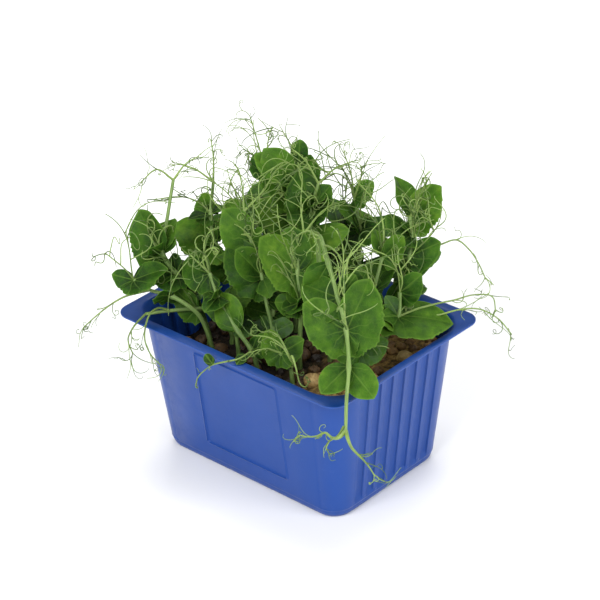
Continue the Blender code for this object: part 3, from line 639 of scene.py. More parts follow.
class Nodes:
    """A short way to write a material's nodes."""

    def __init__(self, name):
        self.material = bpy.data.materials.new(name)
        self.material.use_nodes = True
        self.tree = self.material.node_tree
        self.shader = self.tree.nodes["Principled BSDF"]

    def put(self, kind, settings=None, **sockets):
        node = self.tree.nodes.new(kind)
        for key, value in (settings or {}).items():
            setattr(node, key, value)
        self.feed_all(node, sockets)
        return node

    def feed(self, socket, value):
        if isinstance(value, bpy.types.NodeSocket):
            self.tree.links.new(value, socket)
        elif socket.type == "RGBA":
            socket.default_value = (*value, 1.0)
        else:
            socket.default_value = value

    def feed_all(self, node, sockets):
        for key, value in sockets.items():
            self.feed(node.inputs[key.replace("_", " ")], value)

    def math(self, operation, *values):
        node = self.put("ShaderNodeMath", {"operation": operation})
        for socket, value in zip(node.inputs, values):
            self.feed(socket, value)
        return node.outputs[0]

    def varied(self, value, noise, amount):
        """The value moved up and down by a noise whose middle is a half."""
        swing = self.math("MULTIPLY", self.math("SUBTRACT", noise, 0.5), amount)
        return self.math("ADD", value, swing)

    def attribute(self, name):
        return self.put("ShaderNodeAttribute", {"attribute_name": name}).outputs["Vector"]

    def split(self, vector):
        return self.put("ShaderNodeSeparateXYZ", None, Vector=vector).outputs

    def noise(self, vector, scale, detail=3.0, roughness=0.55):
        sockets = {"Vector": vector, "Scale": scale, "Detail": detail, "Roughness": roughness}
        return self.put("ShaderNodeTexNoise", None, **sockets).outputs["Fac"]

    def place(self):
        return self.put("ShaderNodeTexCoord").outputs["Object"]

    def ramp(self, value, *stops):
        node = self.put("ShaderNodeValToRGB", None, Fac=value)
        elements = node.color_ramp.elements
        while len(elements) < len(stops):
            elements.new(0.5)
        for element, (position, color) in zip(elements, stops):
            element.position = position
            element.color = (*color, 1.0)
        return node.outputs["Color"]

    def mix(self, share, first, second):
        node = self.put("ShaderNodeMix", {"data_type": "RGBA"}, Factor=share, A=first, B=second)
        return node.outputs["Result"]

    def range(self, value, low, high, to_low=0.0, to_high=1.0):
        node = self.put("ShaderNodeMapRange", {"interpolation_type": "SMOOTHSTEP"})
        for socket, number in zip(node.inputs, (value, low, high, to_low, to_high)):
            self.feed(socket, number)
        return node.outputs[0]

    def bump(self, height, strength, distance):
        node = self.put("ShaderNodeBump", None, Height=height, Strength=strength, Distance=distance)
        self.feed(self.shader.inputs["Normal"], node.outputs["Normal"])

    def finish(self, **sockets):
        self.feed_all(self.shader, sockets)
        return self.material


VEIN_PITCH = math.radians(40)
LEAF_GREENS = (
    (0.0, (0.008, 0.028, 0.003)),
    (0.35, (0.021, 0.065, 0.005)),
    (0.7, (0.049, 0.122, 0.008)),
    (1.0, (0.115, 0.215, 0.017)),
)
VEIN_GREEN = (0.150, 0.270, 0.040)
BLOOM_GREY = (0.075, 0.130, 0.066)


def leaf_material():
    """Green blades with a few faint veins that fan out from the foot, and pale thin edges."""
    n = Nodes("pea_leaf")
    spot = n.attribute("spot")
    along, across, _ = n.split(spot)
    tone, bloom, edge = n.split(n.attribute("mark"))
    squares = [n.math("MULTIPLY", side, side) for side in (along, across)]
    reach = n.math("SQRT", n.math("ADD", *squares))
    angle = n.varied(n.math("ARCTAN2", across, along), n.noise(spot, 0.10, 2.0), 0.7)
    off_vein = n.math("MULTIPLY", n.math("PINGPONG", angle, VEIN_PITCH / 2), reach)
    vein = n.range(off_vein, 0.04, 0.40, 1.0, 0.0)
    vein = n.math("MULTIPLY", vein, n.range(reach, 2.0, 17.0, 0.8, 0.0))
    rib = n.range(n.math("ABSOLUTE", across), 0.10, 0.55, 1.0, 0.0)
    rib = n.math("MULTIPLY", rib, n.range(along, 0.5, 24.0, 1.0, 0.25))
    net = n.put("ShaderNodeTexVoronoi", {"feature": "DISTANCE_TO_EDGE"}, Vector=spot, Scale=0.42)
    netting = n.range(net.outputs["Distance"], 0.0, 0.08, 0.22, 0.0)
    veins = n.math("MAXIMUM", n.math("MAXIMUM", vein, rib), netting)
    mottle = n.noise(spot, 0.22, 4.0)
    # Painted shade: each blade is darker towards its foot by the stem, lighter towards its edge.
    foot = n.range(reach, 1.0, 13.0, -0.30, 0.10)
    green = n.ramp(n.varied(n.math("ADD", tone, foot), mottle, 1.0), *LEAF_GREENS)
    green = n.mix(n.math("MULTIPLY", veins, 0.40), green, VEIN_GREEN)
    green = n.mix(n.range(edge, 0.93, 1.0, 0.0, 0.35), green, VEIN_GREEN)
    powder = n.math("MULTIPLY", bloom, n.range(n.noise(spot, 0.3, 3.0), 0.35, 0.65, 0.3, 1.0))
    height = n.math("SUBTRACT", n.math("MULTIPLY", mottle, 0.5), n.math("MULTIPLY", veins, 0.6))
    n.bump(height, 0.5, 0.0005)
    return n.finish(
        Base_Color=n.mix(powder, green, BLOOM_GREY),
        Roughness=n.range(mottle, 0.3, 0.7, 0.48, 0.64),
        Subsurface_Weight=0.12,
        Subsurface_Radius=(0.4, 1.0, 0.15),
        Subsurface_Scale=0.0015,
        Specular_IOR_Level=0.10,
    )


STEM_GREENS = ((0.0, (0.036, 0.092, 0.012)), (1.0, (0.250, 0.370, 0.105)))
TENDRIL_GREENS = ((0.0, (0.050, 0.100, 0.016)), (1.0, (0.245, 0.350, 0.088)))
STREAK_SCALE = (0.12, 2.2, 2.2)


def stalk_material(name, greens):
    """Pale green stalks, a little streaked along their length."""
    n = Nodes(name)
    stretched = n.put("ShaderNodeMapping", None, Vector=n.attribute("spot"), Scale=STREAK_SCALE)
    streak = n.noise(stretched.outputs["Vector"], 1.0, 3.0)
    tone = n.split(n.attribute("mark"))["X"]
    n.bump(streak, 0.6, 0.0003)
    return n.finish(
        Base_Color=n.ramp(n.varied(tone, streak, 1.7), *greens),
        Roughness=0.5,
        Subsurface_Weight=0.15,
        Subsurface_Radius=(0.4, 0.9, 0.2),
        Subsurface_Scale=0.001,
        Specular_IOR_Level=0.35,
    )


TRAY_BLUES = ((0.30, (0.008, 0.050, 0.252)), (0.70, (0.012, 0.059, 0.280)))
RUBBED_BLUE = (0.10, 0.18, 0.48)
EDGE_HIGHLIGHT_BLUE = (0.06, 0.14, 0.48)
FLANGE_SHADE_BLUE = (0.002, 0.030, 0.150)


def plastic_material():
    """Blue sheet with a soft sheen, a faint cloudiness and fine scratches. Its trimmed edge is painted
    paler as a highlight, and its flange's top is painted a deeper blue as shade."""
    n = Nodes("tray_blue")
    place = n.place()
    painted_light_mark = n.split(n.attribute("mark"))["Y"]
    cloud = n.noise(place, 26.0, 3.0)
    fine = n.noise(place, 900.0, 2.0)
    scuff = n.noise(place, 140.0, 6.0, 0.75)
    color = n.mix(n.range(scuff, 0.60, 0.80, 0.0, 0.22), n.ramp(cloud, *TRAY_BLUES), RUBBED_BLUE)
    # Painted highlight: the flange's trimmed edge is mixed towards a paler blue.
    color = n.mix(n.range(painted_light_mark, 0.3, 1.0, 0.0, 0.15), color, EDGE_HIGHLIGHT_BLUE)
    # Painted shade: the flange's top is mixed towards a deeper blue.
    color = n.mix(n.range(painted_light_mark, -1.0, 0.0, 0.6, 0.0), color, FLANGE_SHADE_BLUE)
    n.bump(n.math("ADD", n.math("MULTIPLY", cloud, 0.8), n.math("MULTIPLY", fine, 0.10)), 0.30, 0.0006)
    rough = n.range(scuff, 0.35, 0.75, 0.30, 0.46)
    return n.finish(Base_Color=color, Roughness=rough, Specular_IOR_Level=0.30)


DAMP_SOIL = (
    (0.38, (0.0045, 0.0035, 0.0025)),
    (0.55, (0.016, 0.011, 0.006)),
    (0.68, (0.055, 0.030, 0.012)),
)
DRY_SOIL = (
    (0.35, (0.035, 0.023, 0.008)),
    (0.50, (0.200, 0.125, 0.036)),
    (0.66, (0.380, 0.260, 0.085)),
)


def soil_material():
    """Dark damp crumbs that dry out and turn paler towards the tray's right end."""
    n = Nodes("growing_medium")
    place = n.place()
    clump = n.noise(place, 240.0, 5.0, 0.7)
    fibre = n.noise(place, 1100.0, 3.0, 0.7)
    along = n.varied(n.split(place)["X"], n.noise(place, 70.0), 0.06)
    dry = n.range(along, 0.005, 0.045, 0.0, 0.9)
    color = n.mix(dry, n.ramp(clump, *DAMP_SOIL), n.ramp(clump, *DRY_SOIL))
    n.bump(n.math("ADD", clump, n.math("MULTIPLY", fibre, 0.5)), 0.9, 0.0012)
    return n.finish(Base_Color=color, Roughness=0.92, Specular_IOR_Level=0.2)


PEA_BROWNS = (
    (0.0, (0.012, 0.007, 0.004)),
    (0.4, (0.100, 0.052, 0.016)),
    (0.7, (0.240, 0.140, 0.042)),
    (1.0, (0.480, 0.340, 0.130)),
)


def pea_material():
    """Sown peas, from tan to dark brown, blotched and wrinkled."""
    n = Nodes("sown_pea")
    blotch = n.noise(n.place(), 420.0, 5.0, 0.65)
    shade = n.varied(n.split(n.attribute("mark"))["X"], blotch, 0.9)
    n.bump(blotch, 0.7, 0.0006)
    return n.finish(Base_Color=n.ramp(shade, *PEA_BROWNS), Roughness=0.55, Specular_IOR_Level=0.4)


FLOOR_WHITES = ((0.3, (0.90, 0.90, 0.90)), (0.7, (0.91, 0.91, 0.91)))


def floor_material():
    n = Nodes("pale_floor")
    color = n.ramp(n.noise(n.place(), 3.0, 2.0), *FLOOR_WHITES)
    return n.finish(Base_Color=color, Roughness=0.9, Specular_IOR_Level=0.1)


# ---- The tray ----


FINE_FLUTE_STEPS = 14
FINE_CORNER_STEPS = 12
FLUTE_SQUARENESS = 0.35
PANEL_SOFTNESS = 0.0007
PANEL_CORNER = 0.0012
BEAD_SHARE = 1.7
BEAD_WIDTH = 0.0005
PANEL_SURROUND = 0.006
PANEL_COLUMNS = (0.018, 0.009)
NEAR_EDGE = 0.0045
WELL_INSIDE = 0.012
EDGE_STEPS = np.array([-1.4, -1.0, -0.7, -0.4, 0.0, 0.4, 0.7, 1.0, 1.4]) * MM
SIDE_STEP = 0.00035
SIDE_STEP_WIDTH = 0.0005
BASE_STEPS = 6
BASE_INSET = 0.0004
BASE_ROUNDING = 0.0034
BASE_RISE = 0.0038
FOOT_LEVELS = (0.0053, 0.0058, 0.0066, 0.0075, FLUTE_FOOT)
SHOULDER_LEVELS = (FLUTE_HEAD, 0.0745, 0.0755, 0.0763)
INNER_LEVELS = (0.0765, 0.0755, 0.0745, FLUTE_HEAD, 0.066, 0.040, FLUTE_FOOT)


def smoothstep(low, high, value):
    share = np.clip((value - low) / (high - low), 0.0, 1.0)
    return share * share * (3 - 2 * share)


def end_columns():
    """Places along an end, from -1 to 1 of its straight stretch, with each flute's depth there."""
    columns = [(-1.0, 0.0), (-0.95, 0.0)]
    for flute in range(FLUTES):
        for step in range(FINE_FLUTE_STEPS + 1):
            across = step / FINE_FLUTE_STEPS
            place = (flute + FLUTE_CREST / 2 + (1 - FLUTE_CREST) * across) / FLUTES
            depth = math.sin(math.pi * across) ** FLUTE_SQUARENESS
            columns.append((FLUTED_SHARE * (2 * place - 1), depth))
    return columns + [(0.95, 0.0), (1.0, 0.0)]


def panel_share(x, z):
    """How far the panel is sunk at this place on a long side, as a share of its depth. A low bead
    runs round its edge."""
    centre, half = (PANEL_HEAD + PANEL_FOOT) / 2, (PANEL_HEAD - PANEL_FOOT) / 2
    edge = rounded_distance(x, z - centre, PANEL_WIDTH / 2, half, PANEL_CORNER)
    sunk = smoothstep(0, 1, 0.5 - edge / PANEL_SOFTNESS)
    return sunk - BEAD_SHARE * np.exp(-((edge / BEAD_WIDTH) ** 2))


def fine_ring(level, half, corner, flute=0.0, panel=0.0, sunk_corner=0.0):
    """One ring of points round the tray, finer than the solid's, with softened panel edges."""
    half_x, half_y = half
    straight_x, straight_y = half_x - corner, half_y - corner
    edge = PANEL_WIDTH / 2
    far_edge = straight_x - SIDE_STEP_WIDTH * np.array([0, 0.5, 1])
    half_panel = np.concatenate([[edge + PANEL_SURROUND], edge - EDGE_STEPS, PANEL_COLUMNS])
    in_panel = PANEL_MIDDLE + np.concatenate([-half_panel, [0.0], half_panel[::-1]])
    side = np.concatenate([-far_edge, in_panel, far_edge[::-1]])
    points = []

    def add_corner(turn, end, along, across):
        for step in range(1, FINE_CORNER_STEPS):
            angle = step * math.pi / 2 / FINE_CORNER_STEPS
            x = straight_x + corner * along(angle)
            y = straight_y + (corner - sunk_corner) * across(angle)
            points.append((turn * end * x, turn * y, level))

    for turn in (1, -1):
        for place, depth in end_columns():
            points.append((turn * (half_x - flute * depth), turn * place * straight_y, level))
        add_corner(turn, 1, math.cos, math.sin)
        for place in side:
            into_corner = np.clip(1 - (straight_x - abs(place)) / SIDE_STEP_WIDTH, 0, 1)
            depth = panel * panel_share(place - PANEL_MIDDLE, level) + sunk_corner * into_corner
            points.append((-turn * place, turn * (half_y - depth), level))
        add_corner(turn, -1, math.sin, math.cos)
    return points


def tray_profile():
    """The rings from the middle of the underside, up the outside, over the flange and back down,
    and a mark for each: 1 on the trimmed edge, painted pale as a highlight, -1 on the flange's top,
    painted deeper blue as shade, and else 0."""

    def wall(level, inset, step=SIDE_STEP):
        fade = smoothstep(BEVEL_HEIGHT + 0.0006, FLUTE_FOOT, level)
        fade *= 1 - smoothstep(FLUTE_HEAD, TRAY_HEIGHT - SHEET, level)
        half = shrunk(wall_half(level), inset)
        corner = wall_corner(level) - inset
        return fine_ring(level, half, corner, FLUTE_DEPTH * fade, PANEL_DEPTH, step)

    def base(level, inset):
        return fine_ring(level, shrunk(wall_half(level), inset), wall_corner(level) - inset / 2)

    def flange(level, reach):
        half_x = TRAY_LENGTH / 2 - END_FLANGE * (1 - reach)
        half_y = TRAY_WIDTH / 2 - SIDE_FLANGE * (1 - reach)
        corner = TOP_CORNER + (FLANGE_CORNER - TOP_CORNER) * reach
        return fine_ring(level, (half_x, half_y), corner)

    under, top = TRAY_HEIGHT - SHEET, TRAY_HEIGHT
    panel = [*(PANEL_FOOT + EDGE_STEPS), PANEL_FOOT + NEAR_EDGE]
    panel += [*np.linspace(PANEL_FOOT + WELL_INSIDE, PANEL_HEAD - WELL_INSIDE, 4)]
    panel += [PANEL_HEAD - NEAR_EDGE, *(PANEL_HEAD + EDGE_STEPS)]
    rings = [base(0.0, 0.02), base(0.0, BASE_ROUNDING)]
    for step in range(1, BASE_STEPS + 1):
        turn = step * math.pi / 2 / BASE_STEPS
        inset = BASE_ROUNDING * (1 - math.sin(turn)) * 0.62 + BASE_INSET
        rings.append(base(BASE_RISE * (1 - math.cos(turn)), inset))
    rings += [base(BEVEL_HEIGHT - 0.0002, BASE_INSET), base(BEVEL_HEIGHT + 0.0003, 0.0001)]
    rings += [wall(level, 0.0) for level in (*FOOT_LEVELS, *panel, *SHOULDER_LEVELS)]
    rings += [wall(under - 0.0002, 0.0, 0.0), flange(under, 0.04), flange(under, 0.5)]
    rings += [flange(under, 0.965), flange(under + 0.0001, 0.99), flange(under + 0.0003, 1.0)]
    rings += [flange(top - 0.0002, 1.0), flange(top - 0.00005, 0.99)]
    # 1 marks the painted highlight on the trimmed edge, -1 the painted shade on the flange's top.
    marks = [0.0] * (len(rings) - 4) + [1.0] * 4 + [-1.0] * 3
    rings += [flange(top, 0.97), flange(top, 0.5)]
    rings += [wall(top, 0.0001, 0.0), wall(top - 0.0003, SHEET * 0.85, 0.0)]
    rings += [wall(level, SHEET) for level in INNER_LEVELS]
    rings += [base(BEVEL_HEIGHT, SHEET), base(SHEET, 0.0055), base(SHEET, 0.02)]
    return rings, marks + [0.0] * (len(rings) - len(marks))


def skinned(name, rings, material, sharp_degrees, ring_marks=0.0):
    """A closed piece over rings of points, with a centre point in the first and last ring."""
    skin = Skin()
    count = len(rings[0])
    points = [point for ring in rings for point in ring]
    points += [np.mean(rings[0], axis=0), np.mean(rings[-1], axis=0)]
    marks = np.zeros((len(points), 3))
    marks[:-2, 1] = np.repeat(np.broadcast_to(ring_marks, len(rings)), count)
    skin.add(points, ring_faces(len(rings), count), marks=marks)
    return skin.to_object(name, [material], sharp_degrees)


def dress_tray():
    rings, marks = tray_profile()
    tray = skinned("tray_shell", rings, plastic_material(), 35, marks)
    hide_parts("tray")


# ---- The growing medium ----


MEDIUM_TURNS = 220
MEDIUM_SHARES = np.concatenate([np.linspace(0.02, 0.9, 40), np.linspace(0.915, 1.0, 8)])
PEA_TURNS = 26
PEA_BANDS = 16
FRONT_PEA = (0.0305, -0.0235)
PIECES_BETWEEN = 300
PIECE_TO_WALL = 0.0055
PIECE_TO_CORNER = 0.010
PIECE_TO_PIECE = 0.0052
PIECE_SIZE = (0.0014, 0.0034)
PIECE_CRUMBLED = 3.5


def rough(place, scale, seed=0.0):
    return noise.noise(Vector(place) * scale + Vector((seed, -seed, 2 * seed)))


def medium_outline(level, inset):
    """The outline inside the tray, which follows the flutes, evenly stepped round."""
    half = shrunk(wall_half(level), SHEET + inset)
    ring = np.array(fine_ring(level, half, wall_corner(level) - inset, FLUTE_DEPTH, PANEL_DEPTH))
    return evenly(np.vstack([ring, ring[:1]]), MEDIUM_TURNS, False)[:, :2]


def medium_top(x, y, roots):
    """The rough surface, which dips a little round each stem."""
    lump = 0.0011 * rough((x, y, 0), 130) + 0.0007 * rough((x, y, 0), 420, 5.0)
    grit = 0.0004 * rough((x, y, 0), 1200, 9.0)
    gap = np.hypot(roots[:, 0] - x, roots[:, 1] - y).min()
    return medium_height(x, y) + lump + grit - 0.0012 * math.exp(-((gap / 0.0022) ** 2))


def dress_medium():
    roots = metres([shoot.root for shoot in SHOOTS])
    outline = medium_outline(MEDIUM_LEVEL, MEDIUM_GAP)
    foot_level = MEDIUM_FOOT + BEVEL_HEIGHT
    foot = medium_outline(foot_level, MEDIUM_GAP + BEVEL_INSET)
    rings = [[(x * share, y * share, foot_level) for x, y in foot] for share in (0.5, 1)]
    for share in MEDIUM_SHARES[::-1]:
        ring = [beside_wall(x * share, y * share) for x, y in outline]
        rings.append([(x, y, medium_top(x, y, roots)) for x, y in ring])
    medium = skinned("medium_block", rings, soil_material(), 80)
    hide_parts("growing_medium")


def pea_points(x, y, level, turn, size, draw, crumbled=1.0):
    """A sown pea: a flattened ball, dented, wrinkled and, now and then, split across."""
    seed = draw.uniform(0, 50)
    dent = crumbled * draw.uniform(0.05, 0.14)
    split = 0.16 if draw.random() < 0.45 else 0.0
    stretch = (draw.uniform(0.95, 1.08), draw.uniform(0.85, 1.0), draw.uniform(0.72, 0.92))
    tilt = draw.uniform(-0.6, 0.6)
    points = []
    for band in range(1, PEA_BANDS):
        polar = math.pi * band / PEA_BANDS
        for step in range(PEA_TURNS):
            around = 2 * math.pi * step / PEA_TURNS
            out = math.sin(polar)
            spot = (out * math.cos(around), out * math.sin(around), math.cos(polar))
            radius = 1 + dent * rough(spot, 1.4, seed) + 0.05 * crumbled * rough(spot, 4.5, seed)
            radius -= split * math.exp(-((spot[0] / 0.10) ** 2))
            points.append([radius * size * c * s for c, s in zip(spot, stretch)])
    points += [[0, 0, size * stretch[2]], [0, 0, -size * stretch[2]]]
    for axis, angle in (((1, 0, 0), tilt), ((0, 0, 1), turn)):
        points = [turned_about(point, axis, angle) for point in points]
    return np.array(points) + (x, y, level)


def dryness(x):
    """How much paler the peas are towards the tray's right end, where they have dried."""
    return 0.45 * smoothstep(0.010, 0.038, x)


def dress_peas():
    """The peas of the solid, a pale one at the front, and smaller broken ones between them."""
    draw = random.Random(SEED + 1)
    skin = Skin()
    faces = [face[::-1] for face in ring_faces(PEA_BANDS - 1, PEA_TURNS)]

    def sow(x, y, lift, turn, size, tones, crumbled=1.0):
        points = pea_points(x, y, medium_height(x, y) + lift, turn, size, draw, crumbled)
        skin.add(points, faces, marks=(draw.uniform(*tones) + dryness(x), 0, 0))

    whole = spaced_peas()
    taken = [(x, y) for x, y, _, _ in whole] + [metres(shoot.root) for shoot in SHOOTS]
    for x, y, proud, turn in whole:
        sow(x, y, proud, turn, PEA_RADIUS * draw.uniform(0.92, 1.02), (0.1, 0.65))
    level = medium_height(*FRONT_PEA) + 0.5 * PEA_RADIUS
    front = pea_points(*FRONT_PEA, level, 0.6, PEA_RADIUS, draw)
    skin.add(front, faces, marks=(0.85, 0, 0))
    taken.append(FRONT_PEA)
    half_x, half_y = shrunk(wall_half(MEDIUM_LEVEL), PIECE_TO_WALL)
    for _ in range(PIECES_BETWEEN):
        x, y = draw.uniform(-half_x, half_x), draw.uniform(-half_y, half_y)
        if rounded_distance(x, y, half_x, half_y, PIECE_TO_CORNER) > 0:
            continue
        x, y = beside_wall(x, y)
        if min(math.hypot(x - a, y - b) for a, b in taken) < PIECE_TO_PIECE:
            continue
        taken.append((x, y))
        size = draw.uniform(*PIECE_SIZE)
        sow(x, y, 0.2 * size, draw.uniform(0, 6), size, (-0.1, 0.3), PIECE_CRUMBLED)
    peas = skin.to_object("sown_peas", [pea_material()], 80)


# ---- Leaves ----


FINE_GRID = (7, 111)
YOUNG_GRID = (6, 61)
OUTLINE_STEPS = 240
LEAF_THICKNESS = 0.00035
LEAF_FOOT = 0.035
FINE_TOOTH_PITCH = 13.0
FINE_TOOTHED_FROM = 12
TIP_POINT = 0.022
TIP_WIDTH = 2.6
CREASE = -0.008
MOST_FRILL = 0.0010
YOUNG_LEAVES = 7
YOUNG_REACH = (0.0075, 0.0135)
YOUNG_FROM = 0.082
YOUNG_LEAN = (0.2, -0.3, 0.5)
LOW_LEAF = 0.090
SMALL_LEAF = 0.016


def fine_outline(form):
    """The form's outline as a smooth curve: its angles in degrees, and its shares of the length."""
    known, shares = (np.array(column) for column in zip(*form.outline))
    turned = np.radians(known)
    flat = np.column_stack([shares * np.cos(turned), shares * np.sin(turned), 0 * known])
    x, y, _ = smooth_path(flat, OUTLINE_STEPS).T
    return np.degrees(np.arctan2(y, x)), np.hypot(x, y)


def fine_edge(form, angles, draw):
    """The edge's shares with a point at the tip and, on a stipule, two sizes of pointed teeth."""
    edge = np.interp(angles, *fine_outline(form))
    edge = edge + TIP_POINT * np.exp(-((angles / TIP_WIDTH) ** 2))
    if not form.teeth:
        return edge
    into = np.clip((angles - TOOTHED_FROM) / TOOTH_PITCH + draw.uniform(-0.15, 0.15), 0, None)
    large = form.teeth * np.clip(into, 0, 1) * (0.5 - 0.5 * np.cos(2 * math.pi * into))
    uneven = 0.6 * np.sin(np.radians(angles) * draw.uniform(4, 9) + draw.uniform(0, 6))
    into = np.clip((angles - FINE_TOOTHED_FROM) / FINE_TOOTH_PITCH + uneven, 0, None)
    drop = draw.uniform(0.035, 0.075)
    small = drop * np.clip(into / 2, 0, 1) * (1 - (into % 1.0) ** 1.3)
    return edge * (1 - large - small)


def blade_faces(rings, rays, flipped):
    """The faces of a sheet's front and back, each a grid of rings by rays, joined round the edge."""
    total = rings * rays
    faces = []
    for ring in range(rings - 1):
        for corner in range(ring * rays, ring * rays + rays - 1):
            quad = (corner, corner + rays, corner + rays + 1, corner + 1)
            faces += [quad, tuple(total + i for i in reversed(quad))]
    border = list(range(rays))
    border += [ring * rays + rays - 1 for ring in range(1, rings)]
    border += [(rings - 1) * rays + ray for ray in range(rays - 2, -1, -1)]
    border += [ring * rays for ring in range(rings - 2, 0, -1)]
    for a, b in zip(border, border[1:] + border[:1]):
        faces.append((a, b, total + b, total + a))
    return [face[::-1] for face in faces] if flipped else faces


def add_leaf(skin, leaf, draw):
    """A thin closed blade with toothed edges, creased at its veins and wavy at its margin."""
    rings, rays = FINE_GRID if leaf.reach > YOUNG_REACH[1] else YOUNG_GRID
    rays_at = np.linspace(leaf.form.outline[0][0], leaf.form.outline[-1][0], rays)
    rays_at[np.argmin(np.abs(rays_at))] = 0.0
    outward = np.linspace(LEAF_FOOT, 1.0, rings) ** 0.85
    outward[0] = LEAF_FOOT
    rho, angles = np.meshgrid(outward, rays_at, indexing="ij")
    turned = np.radians(angles)
    ratio = fine_edge(leaf.form, angles, draw) / outline_share(leaf.form, angles)
    middle = blade_points(leaf, rho * (1 + (ratio - 1) * rho), angles)
    crease = CREASE * np.cos(turned / VEIN_PITCH * 2 * np.pi) * rho * (1 - 0.5 * rho)
    sway = draw.uniform(5, 8) * turned + draw.uniform(0, 6)
    frill = min(draw.uniform(0.025, 0.075) * leaf.reach, MOST_FRILL) * rho**3 * np.sin(sway)
    middle = middle + (crease * leaf.reach + frill)[..., None] * leaf.normal
    normals = np.cross(np.gradient(middle, axis=0), np.gradient(middle, axis=1))
    normals /= np.linalg.norm(normals, axis=2)[..., None]
    if np.sum(normals * leaf.normal) < 0:
        normals = -normals
    lift = LEAF_THICKNESS / 2 * (1.3 - 0.8 * rho)[..., None] * normals
    local = middle - leaf.start
    seed = np.full(rho.shape, draw.uniform(0, 400) / IN_MM)
    spots = IN_MM * np.stack([local @ leaf.axis, local @ leaf.lobe, seed], axis=2).reshape(-1, 3)
    tone = min(max(draw.gauss(0.46, 0.16), 0.05), 0.66)
    powdery = draw.random() < 0.4 and leaf.start[2] < LOW_LEAF and leaf.reach < SMALL_LEAF
    bloom = draw.uniform(0.3, 0.75) if powdery else 0.0
    marks = np.column_stack([np.tile([tone, bloom], (rho.size, 1)), rho.ravel()])
    flipped = np.dot(np.cross(leaf.axis, leaf.lobe), leaf.normal) < 0
    points = np.vstack([(middle + lift).reshape(-1, 3), (middle - lift).reshape(-1, 3)])
    faces = blade_faces(rings, rays, flipped)
    skin.add(points, faces, LEAF_KIND, np.tile(spots, (2, 1)), np.tile(marks, (2, 1)))


# ---- Stalks and tendrils ----


LEAF_KIND, STEM_KIND, TENDRIL_KIND = range(3)
STEM_PITCH = 0.002
STEM_FINE_SIDES = 12
NODE_SWELL = 0.45
NODE_SPREAD = 0.0022
FRONT_BOW = (0.0028, -0.0031, 0.0024)
SPARE = 0.0035
TENDRIL_FINE_SIDES = 5
TENDRIL_TRIES = 8
SHORTER = 0.85
TRAIL_RINGS = 44
TRAIL_SIDES = 8
TRAIL_GIRTH = 1.25
FRONT_GIRTH = 2.1
CURL_PLACES = (0.5, 0.5, 0.7, 0.85, 1.0, 1.0, 1.0)
CURL_RADIUS = 0.00024
LEAST_CURLED, MOST_CURLED = 0.016, 0.026
CROWN_RADIUS = 0.00042
CROWN_LEVEL = 0.089
HIGH_CROWN = (0.026, 0.048)
LOW_CROWN = (0.012, 0.022)


def add_stem(skin, shoot, draw):
    """The stem, a little swollen where its leaves leave it."""
    through = stem_points(shoot)
    length = run_along(through)[-1]
    path = smooth_path(through, max(12, round(length / STEM_PITCH)))
    radii = np.linspace(STEM_FOOT_RADIUS, STEM_TIP_RADIUS, len(path))
    for knot in {leaf[0] for leaf in shoot.leaves + shoot.leaflets}:
        gap = np.linalg.norm(path - metres(shoot.stem[knot]), axis=1)
        radii = radii * (1 + NODE_SWELL * np.exp(-((gap / NODE_SPREAD) ** 2)))
    tones = draw.uniform(0.2, 0.45) + np.linspace(0, 0.35, len(path))
    add_tube(skin, bowed(shoot, path), radii, STEM_FINE_SIDES, STEM_KIND, tones)


def bowed(shoot, path):
    """The front shoot's stem bows out between its upper nodes, and past its lowest leaves to its
    tip, so it lies over its own leaves."""
    if shoot.name != "shoot_front":
        return path
    path = path.copy()
    nodes = metres(shoot.stem)
    knots = [np.argmin(np.linalg.norm(path - node, axis=1)) for node in (*nodes[2:6], nodes[-1])]
    for first, last in zip(knots, knots[1:]):
        share = np.linspace(0, 1, last - first + 1)
        path[first : last + 1] += np.outer(np.sin(np.pi * share) ** 2, FRONT_BOW)
    return path


def random_direction(draw):
    return unit([draw.gauss(0, 1), draw.gauss(0, 1), draw.gauss(0, 1)])


def curly_path(start, heading, length, coil, draw):
    """A path that sways as it goes, and winds up towards its end by the coil's angle."""
    count = 22 + round(2.2 * coil)
    share = (np.arange(count) + 0.5) / count
    across = unit(np.cross(heading, random_direction(draw)))
    other = np.cross(heading, across)
    yaw = draw.uniform(0.3, 1.0) * np.sin(draw.uniform(1, 4) * share + draw.uniform(0, 6))
    pitch = draw.uniform(0.2, 0.8) * np.sin(draw.uniform(1, 4) * share + draw.uniform(0, 6))
    yaw = yaw - yaw[0] + draw.choice((-1, 1)) * coil * share ** draw.uniform(1.6, 3.4)
    pitch = pitch - pitch[0]
    level = np.outer(np.cos(yaw), heading) + np.outer(np.sin(yaw), across)
    steps = np.cos(pitch)[:, None] * level + np.outer(np.sin(pitch), other)
    return np.vstack([start, start + np.cumsum(steps * length / count, axis=0)])


def astray(path, knot, amount, draw):
    """The path's direction from one of its points, turned aside at random."""
    return unit(unit(path[knot + 1] - path[knot]) + amount * random_direction(draw))


def any_coil(draw):
    """How far a tendril winds up: many hardly do, some make a loop, and a few are tight springs."""
    return draw.choice([draw.uniform(*turns) for turns in ((0, 2), (0, 2), (3, 7), (8, 15))])


def has_space(points):
    """Whether the points keep near the solids' box and off the tray."""
    low, high = np.array(CAD_BOX[0]) - SPARE, np.array(CAD_BOX[1]) + SPARE
    return bool(((points > low) & (points < high)).all()) and clear_of_tray(points[1:])


def add_tendril(skin, start, heading, length, radius, draw, branches=0):
    """A curly tendril, with smaller ones along its outer part."""
    for _ in range(TENDRIL_TRIES):
        path = curly_path(start, heading, length, any_coil(draw), draw)
        if has_space(path):
            break
        length *= SHORTER
    else:
        return
    radii = radius * np.linspace(1.0, 0.5, len(path))
    add_tube(skin, path, radii, TENDRIL_FINE_SIDES, TENDRIL_KIND, draw.uniform(0.0, 1.0))
    for number in range(branches):
        knot = round((0.25 + 0.5 * (number + draw.random()) / branches) * (len(path) - 2))
        away = astray(path, knot, 0.9, draw)
        add_tendril(skin, path[knot], away, draw.uniform(0.4, 0.8) * length, 0.8 * radius, draw)


